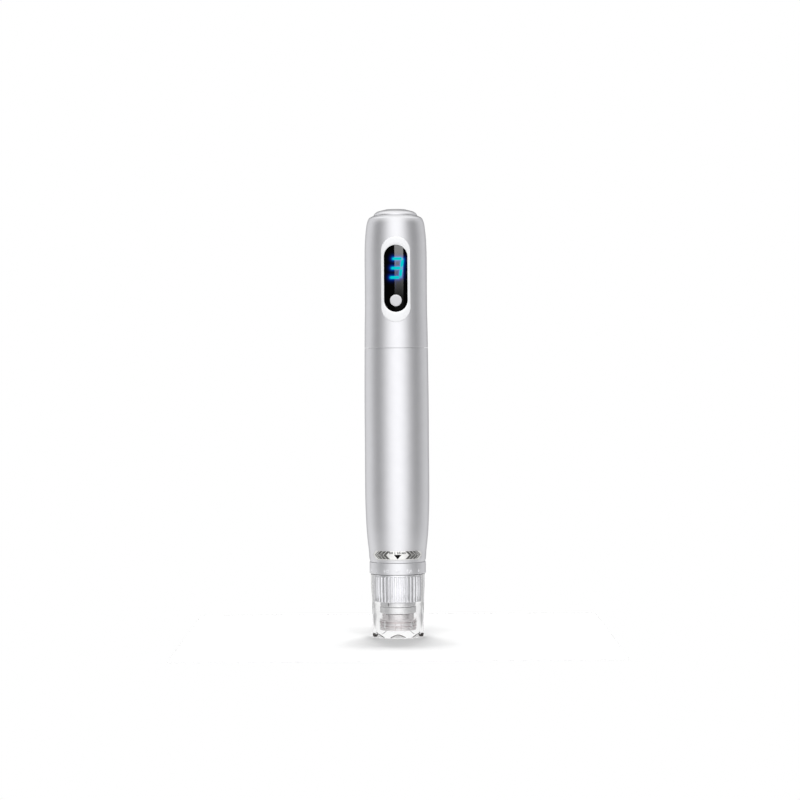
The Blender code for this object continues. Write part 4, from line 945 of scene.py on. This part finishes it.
def block(inner, outer, low, high):
    """The outline of a plain ring."""
    return [(inner, low), (outer, low), (outer, high), (inner, high)]


def turned_piece(name, outline, look, body, slot, *nodes, fillet=SMALL_FILLET):
    made = new_object(name, lathe(rounded(outline, fillet), FINE_SEGMENTS))
    return place(made, look, body, slot, *nodes)


def rib_loop(radius, height, share):
    """A loop round the ribbed grip. A valley faces -Y, and the share scales the flat-backed ribs' relief."""
    loop = []
    foot, crown = RIB_FLANK
    for i in range(RIB_COUNT * RIB_STEPS):
        turn = math.tau * i / (RIB_COUNT * RIB_STEPS)
        crest = max(0.0, min(1.0, (abs(math.sin(turn * RIB_COUNT / 2)) - foot) / (crown - foot)))
        reach = radius - RIB_DEPTH * (1 - crest * share)
        angle = turn - math.pi / 2
        loop.append((reach * math.cos(angle), reach * math.sin(angle), height))
    return loop


def grip():
    """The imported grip's core, so that its bayonet slots stay, in a sleeve of flat-backed ribs."""
    source = frame["nodes"]["cartridge_grip"]
    low, high, radius = node_span("cartridge_grip")
    bm = bmesh.new()
    bm.from_mesh(source.data)
    bmesh.ops.remove_doubles(bm, verts=bm.verts, dist=WELD_DISTANCE)
    bmesh.ops.dissolve_limit(bm, angle_limit=FLAT_ANGLE, verts=bm.verts, edges=bm.edges)
    core = new_object("grip_core", bm)
    cut(core, lathe(block(0.0, radius - GRIP_CORE, low - SEAM, high + SEAM), FINE_SEGMENTS), "INTERSECT")
    place(core, grip_silver, "cartridge", "grip_grey", "cartridge_grip")
    top = high - GRIP_RIM
    levels = [(low + RIB_END * z, share) for z, share in RIB_FOOT_SHARES]
    levels += [((low + top) / 2, 1.0)]
    levels += [(top - RIB_END * z, share) for z, share in RIB_TOP_SHARES]
    inner = (radius - RIB_DEPTH - GRIP_CORE / 2) / radius
    ribs = [rib_loop(radius, height, share) for height, share in levels]
    ends = [[(x * inner, y * inner, z) for x, y, z in rib_loop(radius, height, 0.0)] for height in (low, top)]
    sleeve = new_object("ribbed_sleeve", skin(bmesh.new(), [ends[0], *ribs, ends[1]], closed=True))
    place(sleeve, grip_silver, "cartridge", "grip_grey")
    rim = block(radius - GRIP_RIM_WALL, radius, top, high)
    turned_piece("grip_rim", rim, grip_silver, "cartridge", "grip_grey")


def needle_head():
    low, high, radius = node_span("needle_head")
    low -= HEAD_DROP
    floor_top = low + HEAD_WALL
    neck = radius - NECK_INSET
    step = high - HEAD_STEP
    tube = TUBE_RADIUS
    outline = [(HEAD_BORE, low), (radius, low)]
    for height in reversed(HEAD_GROOVES):
        outline += [(radius, height - HEAD_GROOVE), (radius - HEAD_GROOVE, height)]
        outline += [(radius, height + HEAD_GROOVE)]
    outline += [(radius, step), (neck, step), (neck, high)]
    outline += [(neck - HEAD_WALL, high), (neck - HEAD_WALL, step - HEAD_WALL / 2)]
    outline += [(radius - HEAD_WALL, step - HEAD_WALL), (radius - HEAD_WALL, floor_top)]
    outline += [(tube + HEAD_WALL, floor_top), (tube + HEAD_WALL, high), (tube, high)]
    outline += [(tube, floor_top), (HEAD_BORE, floor_top)]
    turned_piece("needle_head_shell", outline, clear_plastic, "cartridge", "clear_plastic", "needle_head")
    for number, (bottom, top) in enumerate(HEAD_BANDS, start=1):
        band = block(radius - HEAD_GROOVE, radius + SEAM, bottom, top)
        turned_piece(f"head_band_{number}", band, smoky, "cartridge", "clear_plastic", fillet=SEAM)
    pillars = bmesh.new()
    for i in range(PILLAR_COUNT):
        angle = math.tau * (i + 0.5) / PILLAR_COUNT
        across = Vector((-math.sin(angle), math.cos(angle), 0)) * PILLAR_WIDTH / 2
        out = Vector((math.cos(angle), math.sin(angle), 0))
        near = out * (tube + HEAD_WALL + SEAM)
        far = out * (radius + SEAM * 2)
        lifts = [Vector((0, 0, level)) for level in (floor_top + SEAM, step - HEAD_WALL)]
        corners = (near - across, far - across, far + across, near + across)
        skin(pillars, [[corner + lift for corner in corners] for lift in lifts])
    place(new_object("needle_head_ribs", pillars), milky, "cartridge", "white_plastic")


def flange_and_collar():
    low, high, radius = node_span("cartridge_flange")
    collar_low, _, collar_radius = node_span("cartridge_collar")
    joint = (high + collar_low) / 2
    top = node_span("cartridge_grip")[0] - CARTRIDGE_SEAM
    flange = block(TUBE_RADIUS, radius, low, joint - CARTRIDGE_SEAM / 2)
    collar = block(COLLAR_BORE, collar_radius, joint + CARTRIDGE_SEAM / 2, top)
    for name, outline, slot, node, fillet in (
        ("flange_ring", flange, "white_plastic", "cartridge_flange", FLANGE_FILLET),
        ("collar_ring", collar, "clear_plastic", "cartridge_collar", COLLAR_FILLET),
    ):
        turned_piece(name, outline, milky, "cartridge", slot, node, fillet=fillet)


def cartridge_seams():
    for name, x, bottom, top, reach, look in CARTRIDGE_SEAMS:
        line = bmesh.new()
        flat_grid(line, [(x, bottom), (x, top), (x + SEAM_LINE, top), (x + SEAM_LINE, bottom)], SEAM_STEPS)

        def on_wall(u, v):
            return facing(lambda height: reach, u, v, INK_THICKNESS * 2)

        printed(name, line, look, "cartridge", "white_plastic", on_wall)


# Protective cap

CAP_OUTLINE_SHARES = [
    (0.036, 0.945),
    (0.213, 0.946),
    (0.36, 0.949),
    (0.50, 0.956),
    (0.617, 0.966),
    (0.728, 0.983),
    (0.85, 0.997),
    (1.0, 1.0),
]
CAP_BORE_SHARES = [
    (1.0, 0.891),
    (0.72, 0.891),
    (0.6, 0.889),
    (0.52, 0.882),
    (0.4, 0.863),
    (0.3, 0.857),
    (0.036, 0.857),
]
CAP_STEPS = 6
CAP_FOOT_ROWS = (0.0, 0.0085, 0.018)
LOBES = 7
LOBE_SEGMENTS = 36
LOBE_FLAT_SHARE = 0.09
ARCH_HEIGHT = 0.0012
CROWN_HEIGHT = 0.0036
CAP_EDGE = 0.0001
# Painted shade along the crown's edge and on its side feet
RIM_SHARE = 3.5
RIM_RISE = 0.00012
PAINTED_SHADE_FOOT = 0.0077
PAINTED_SHADE_FOOT_HEIGHT = 0.0011


def arch_rise(azimuth):
    """How far the crown's edge is above the feet. A foot points at +Y."""
    phase = ((azimuth - math.pi / 2) / (math.tau / LOBES)) % 1.0
    from_foot = min(phase, 1.0 - phase)
    if from_foot <= LOBE_FLAT_SHARE:
        return 0.0
    across = (from_foot - LOBE_FLAT_SHARE) / (0.5 - LOBE_FLAT_SHARE)
    return ARCH_HEIGHT * (1 - math.cos(across * math.pi)) / 2


def cap_cover():
    low, high, radius = node_span("protective_cap")
    outside = curve_through(sized(CAP_OUTLINE_SHARES, radius, low, high), CAP_STEPS)
    inside = curve_through(sized(CAP_BORE_SHARES, radius, low, high), CAP_STEPS)
    rows = [low + (high - low) * z for z in CAP_FOOT_ROWS]
    bore = inside[-1][0]
    outline = [(outside[0][0], z) for z in rows] + outside + inside + [(bore, z) for z in reversed(rows)]
    bm = lathe(rounded(outline, CAP_EDGE), LOBES * LOBE_SEGMENTS)
    looks = []  # Indices of the clear material and of the painted shade on the crown's front edge and side feet, by face
    for face in bm.faces:
        x, y, z = face.calc_center_median()
        rise = arch_rise(math.atan2(y, x))
        on_rim = CAP_EDGE / 2 < z - low < CAP_EDGE * RIM_SHARE and math.hypot(x, y) > bore + SEAM
        look = 1 if on_rim and rise > RIM_RISE else 0
        if abs(x) > PAINTED_SHADE_FOOT and z + rise < low + PAINTED_SHADE_FOOT_HEIGHT:
            look = 2
        # Only the front half, which faces -Y, gets the painted shade
        looks.append(look if y <= 0 else 0)
    for vertex in bm.verts:
        share = max(0.0, 1 - (vertex.co.z - low) / CROWN_HEIGHT)
        if share > 0:
            vertex.co.z += arch_rise(math.atan2(vertex.co.y, vertex.co.x)) * share
    cover = new_object("clear_cover", bm)
    place(cover, clear_cap, "cap", "clear_cap", "protective_cap")
    for plastic in (rim_painted_shade, foot_painted_shade):
        cover.data.materials.append(plastic)
    for face, look in zip(cover.data.polygons, looks):
        face.material_index = look


# Carried-over pieces

CARRIED_LOOKS = {
    "satin_silver": satin,
    "ring_silver": ring_satin,
    "bright_aluminium": bright,
    "white_bezel": white_gloss,
    "black_lens": lens_black,
    "lit_digit": module_black,
    "button_white": button_pale,
    "black_plastic": black_plastic,
    "natural_plastic": natural_plastic,
    "white_plastic": white_plastic,
    "grip_grey": grip_silver,
    "clear_plastic": clear_plastic,
    "clear_cap": clear_cap,
    "silicone": silicone,
    "rubber": rubber,
    "board": board_green,
    "cell_wrap": cell_blue,
    "steel": steel,
    "brass": brass,
    "red_wire": red_wire,
    "black_wire": black_wire,
}


def carry_over():
    """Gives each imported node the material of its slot."""
    for part in frame["record"]["subparts"]:
        node = frame["nodes"][part["node"]]
        node.data.materials.clear()
        node.data.materials.append(CARRIED_LOOKS[part["material_slot"]])


def motor_leads():
    """Copies of the motor leads, each with its wire's material, in place of the imported leads."""
    for colour, look in (("red", red_wire), ("black", black_wire)):
        name = f"motor_lead_{colour}"
        bm = bmesh.new()
        bm.from_mesh(frame["nodes"][name].data)
        lead = new_object(f"{name}_flexing", bm)
        lead.data.materials.clear()
        lead.data.materials.append(look)
        lead.data.shade_smooth()
        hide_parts(name)
        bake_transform(lead)


# Camera, floor and light

CAMERA_PLACE = Vector((0.00127, -0.975, 0.108))
CAMERA_AIM = Vector((0.00127, 0.0, 0.0886))
CAMERA_LENS = 117.0
CAMERA_SENSOR = 36.0
CAMERA_ROLL = math.radians(-0.40)


def aim(made, place_at, target):
    made.location = place_at
    made.rotation_euler = (target - place_at).to_track_quat("-Z", "Y").to_euler()


def camera():
    data = bpy.data.cameras.new("camera")
    data.lens = CAMERA_LENS
    data.sensor_width = CAMERA_SENSOR
    made = added("camera", data)
    aim(made, CAMERA_PLACE, CAMERA_AIM)
    made.rotation_euler.rotate_axis("Z", CAMERA_ROLL)
    bpy.context.scene.camera = made


# Brightness of the room by compass direction, in degrees to the right of the front

ROOM_LEVELS = [
    (-180, 0.35), (-173, 0.32), (-166, 0.32), (-158, 0.50), (-146, 0.88), (-125, 0.98),
    (-107, 0.90), (-90, 0.60), (-73, 0.38), (-60, 0.44), (-50, 0.62), (-39, 0.88),
    (-28, 1.20), (-15, 1.45), (0, 1.54), (14, 1.50), (26, 1.32), (37, 1.03),
    (49, 0.66), (61, 0.46), (75, 0.37), (88, 0.47), (104, 0.68), (124, 0.82),
    (146, 0.78), (158, 0.40), (166, 0.22), (173, 0.22), (180, 0.35),
]
RAMP_PEAK = 2.0
ROOM_PEAK = 1.66
CEILING_LEVEL = 1.3
CEILING_SPAN = (0.4, 0.95)
CEILING_SHARE = 0.8
CEILING_DULL_SHARE = 0.2
GROUND_SPAN = (-0.04, -0.35)
GROUND_SHARE = 0.4
SEEN_THROUGH = (0.905, 0.958)
ROOM_BLUE = 1.012
# Painted light: rays through clear plastic see the floor white straight behind the pen
BEHIND_PEN = (0.0, 0.012)
BESIDE_PEN = (0.022, 0.030)
DIM_LEVEL = 0.12
DIM_ASIDE = (0.3, 0.5)
DIM_SHARE = 0.35
DIM_FLOOR = (0.027, 0.037)
DIM_FLOOR_SHARE = 0.62
FLOOR_HALF_SIZE = 0.08
FLOOR_COLOUR = 0.34
FLOOR_ROUGHNESS = 0.9
FLOOR_LIFT = 0.085
# Painted light on the floor under the pen: a brighter pool for camera rays, and white near the pen for
# reflected rays
PAINTED_POOL_LIFT = 0.44
PAINTED_POOL_EDGE = (0.0088, 0.0115)
PAINTED_POOL_LEVEL = 0.97
PAINTED_POOL_RADII = (0.010, 0.026)
SHEEN_TURN = math.radians(12)
SHEEN_DISTANCE = 1.0
SHEEN_SIZE = (0.58, 0.12)
SHEEN_LOW = 0.143
SHEEN_FADE = 0.38
SHEEN_POWER = 55.0
LAMPS = (("overhead_back", 0.20, 19.5), ("overhead_front", -0.13, 9.0))
LAMP_HEIGHT = 1.15
LAMP_SIZE = (0.16, 0.1)


def arithmetic(tree, operation, first, second=0.0):
    node = feed(tree, tree.nodes.new("ShaderNodeMath"), {0: first, 1: second})
    node.operation = operation
    return node.outputs["Value"]


def room_colour(tree, spot):
    """The room's brightness in a direction, and the direction's X, Y and Z."""
    parts = add_node(tree, "ShaderNodeSeparateXYZ", Vector=spot).outputs
    front = arithmetic(tree, "MULTIPLY", parts["Y"], -1.0)
    compass = arithmetic(tree, "ARCTAN2", parts["X"], front)
    stops = []
    for degrees, level in ROOM_LEVELS:
        share = level / RAMP_PEAK
        stops.append(((degrees + 180) / 360, (share, share, share * ROOM_BLUE)))
    turn = ramped(tree, compass, (-math.pi, math.pi), (0.0, 1.0), "LINEAR")
    return colour_ramp(tree, turn, stops, "CARDINAL"), parts


def shine(tree, kind, level, colour=WHITE):
    """A Background or Emission shader."""
    return add_node(tree, kind, Color=colour, Strength=level).outputs[0]


def dimmed(tree, kind, path, value, span, share, light):
    """A light that is dimmer along a span, for rays that have passed clear plastic."""
    aside = ramped(tree, value, span, (0.0, share))
    aside = arithmetic(tree, "MULTIPLY", path["Is Transmission Ray"], aside)
    return mixed(tree, aside, light, shine(tree, kind, DIM_LEVEL))


def room():
    """Soft light from all round, with two darker sides that shape the metal. The camera sees white."""
    world = bpy.data.worlds.new("room")
    world.use_nodes = True
    bpy.context.scene.world = world
    tree = world.node_tree
    tree.nodes.clear()
    kind = "ShaderNodeBackground"
    colour, parts = room_colour(tree, add_node(tree, "ShaderNodeTexCoord").outputs["Generated"])
    path = add_node(tree, "ShaderNodeLightPath").outputs
    above = ramped(tree, parts["Z"], CEILING_SPAN, (0.0, CEILING_SHARE))
    glossy = arithmetic(tree, "MAXIMUM", path["Is Glossy Ray"], CEILING_DULL_SHARE)
    shown_above = arithmetic(tree, "MULTIPLY", above, glossy)
    below = ramped(tree, parts["Z"], GROUND_SPAN, (0.0, GROUND_SHARE))
    share = arithmetic(tree, "MAXIMUM", shown_above, below)
    around = mixed(tree, share, shine(tree, kind, ROOM_PEAK, colour), shine(tree, kind, CEILING_LEVEL))
    around = dimmed(tree, kind, path, parts["Y"], DIM_ASIDE, DIM_SHARE, around)
    ahead = ramped(tree, parts["Y"], SEEN_THROUGH, (0.0, 1.0))
    through = arithmetic(tree, "MULTIPLY", path["Is Transmission Ray"], ahead)
    shown = arithmetic(tree, "MAXIMUM", path["Is Camera Ray"], through)
    add_node(tree, "ShaderNodeOutputWorld", Surface=mixed(tree, shown, around, shine(tree, kind, 1.0)))


def floor():
    """A pale floor that keeps the pen's shadow, with a painted pool of light under the clear cap. Metal and
    clear plastic see the room's own light in it, with painted white near the pen and behind it.
    """
    bm = bmesh.new()
    half = FLOOR_HALF_SIZE
    corners = [(-half, -half), (half, -half), (half, half), (-half, half)]
    bm.faces.new([bm.verts.new((x, y, cad_low.z)) for x, y in corners])
    ground = new_object("floor", bm)
    made = bpy.data.materials.new("floor")
    made.use_nodes = True
    tree = made.node_tree
    kind = "ShaderNodeEmission"
    path = add_node(tree, "ShaderNodeLightPath").outputs
    spot = add_node(tree, "ShaderNodeTexCoord").outputs["Object"]
    colour, parts = room_colour(tree, spot)
    away = add_node(tree, "ShaderNodeVectorMath", Vector=spot)
    away.operation = "LENGTH"
    away = away.outputs["Value"]
    # Painted light: camera rays see a brighter pool on the floor under the clear cap
    lift = ramped(tree, away, PAINTED_POOL_EDGE, (PAINTED_POOL_LIFT, FLOOR_LIFT))
    # Painted light: reflections see the floor white near the pen, and rays through clear plastic see it white
    # straight behind the pen
    near = ramped(tree, away, PAINTED_POOL_RADII, (1.0, GROUND_SHARE))
    behind = ramped(tree, parts["Y"], BEHIND_PEN, (0.0, 1.0))
    sideways = arithmetic(tree, "ABSOLUTE", parts["X"])
    beside = ramped(tree, sideways, BESIDE_PEN, (1.0, 0.0))
    straight = arithmetic(tree, "MULTIPLY", behind, beside)
    through = arithmetic(tree, "MULTIPLY", path["Is Transmission Ray"], straight)
    white = shine(tree, kind, PAINTED_POOL_LEVEL)
    share = arithmetic(tree, "MAXIMUM", near, through)
    mirrored = mixed(tree, share, shine(tree, kind, ROOM_PEAK, colour), white)
    mirrored = dimmed(tree, kind, path, sideways, DIM_FLOOR, DIM_FLOOR_SHARE, mirrored)
    shader = tree.nodes["Principled BSDF"]
    inputs = {
        "Base Color": (FLOOR_COLOUR, FLOOR_COLOUR, FLOOR_COLOUR, 1.0),
        "Roughness": FLOOR_ROUGHNESS,
        "Specular IOR Level": 0.0,
        "Emission Color": WHITE,
        "Emission Strength": arithmetic(tree, "MULTIPLY", path["Is Camera Ray"], lift),
    }
    feed(tree, shader, inputs)
    seen = arithmetic(tree, "MAXIMUM", path["Is Glossy Ray"], path["Is Transmission Ray"])
    looks = mixed(tree, seen, shader.outputs["BSDF"], mirrored)
    feed(tree, tree.nodes["Material Output"], {"Surface": looks})
    ground.data.materials.append(made)


def lamp(name, place_at, target, size, power):
    data = bpy.data.lights.new(name, "AREA")
    data.shape = "RECTANGLE"
    data.size, data.size_y = size
    data.energy = power
    made = added(name, data)
    aim(made, place_at, target)
    return made


def sheen_lamp(piece):
    """A tall softbox, seen only in the lens, that fades towards its lower edge."""
    middle = Vector((math.sin(SHEEN_TURN), -math.cos(SHEEN_TURN), 0)) * SHEEN_DISTANCE
    middle.z = SHEEN_LOW + SHEEN_SIZE[1] / 2
    made = lamp("lens_softbox", middle, Vector((0, 0, middle.z)), SHEEN_SIZE, SHEEN_POWER)
    made.data.use_nodes = True
    tree = made.data.node_tree
    across = add_node(tree, "ShaderNodeNewGeometry").outputs["Parametric"]
    parts = add_node(tree, "ShaderNodeSeparateXYZ", Vector=across).outputs
    fade = ramped(tree, parts["Y"], (0.0, SHEEN_FADE), (0.0, 1.0))
    feed(tree, tree.nodes["Emission"], {"Strength": fade})
    receivers = bpy.data.collections.new("lens_softbox_receivers")
    receivers.objects.link(piece)
    made.light_linking.receiver_collection = receivers


def lights(lens_piece):
    for name, depth, power in LAMPS:
        lamp(name, Vector((0, depth, LAMP_HEIGHT)), Vector(), LAMP_SIZE, power).visible_glossy = False
    sheen_lamp(lens_piece)


# The whole scene

camera()
room()
floor()
carry_over()
motor_leads()
barrel_shell()
head_shell()
tail_shell()
bezel()
lights(lens())
digit()
button_cap()
depth_ring()
barrel_marks()
ring_numerals()
grip()
needle_head()
flange_and_collar()
cartridge_seams()
cap_cover()

bpy.context.scene.view_settings.view_transform = "Standard"

bpy.context.view_layer.update()
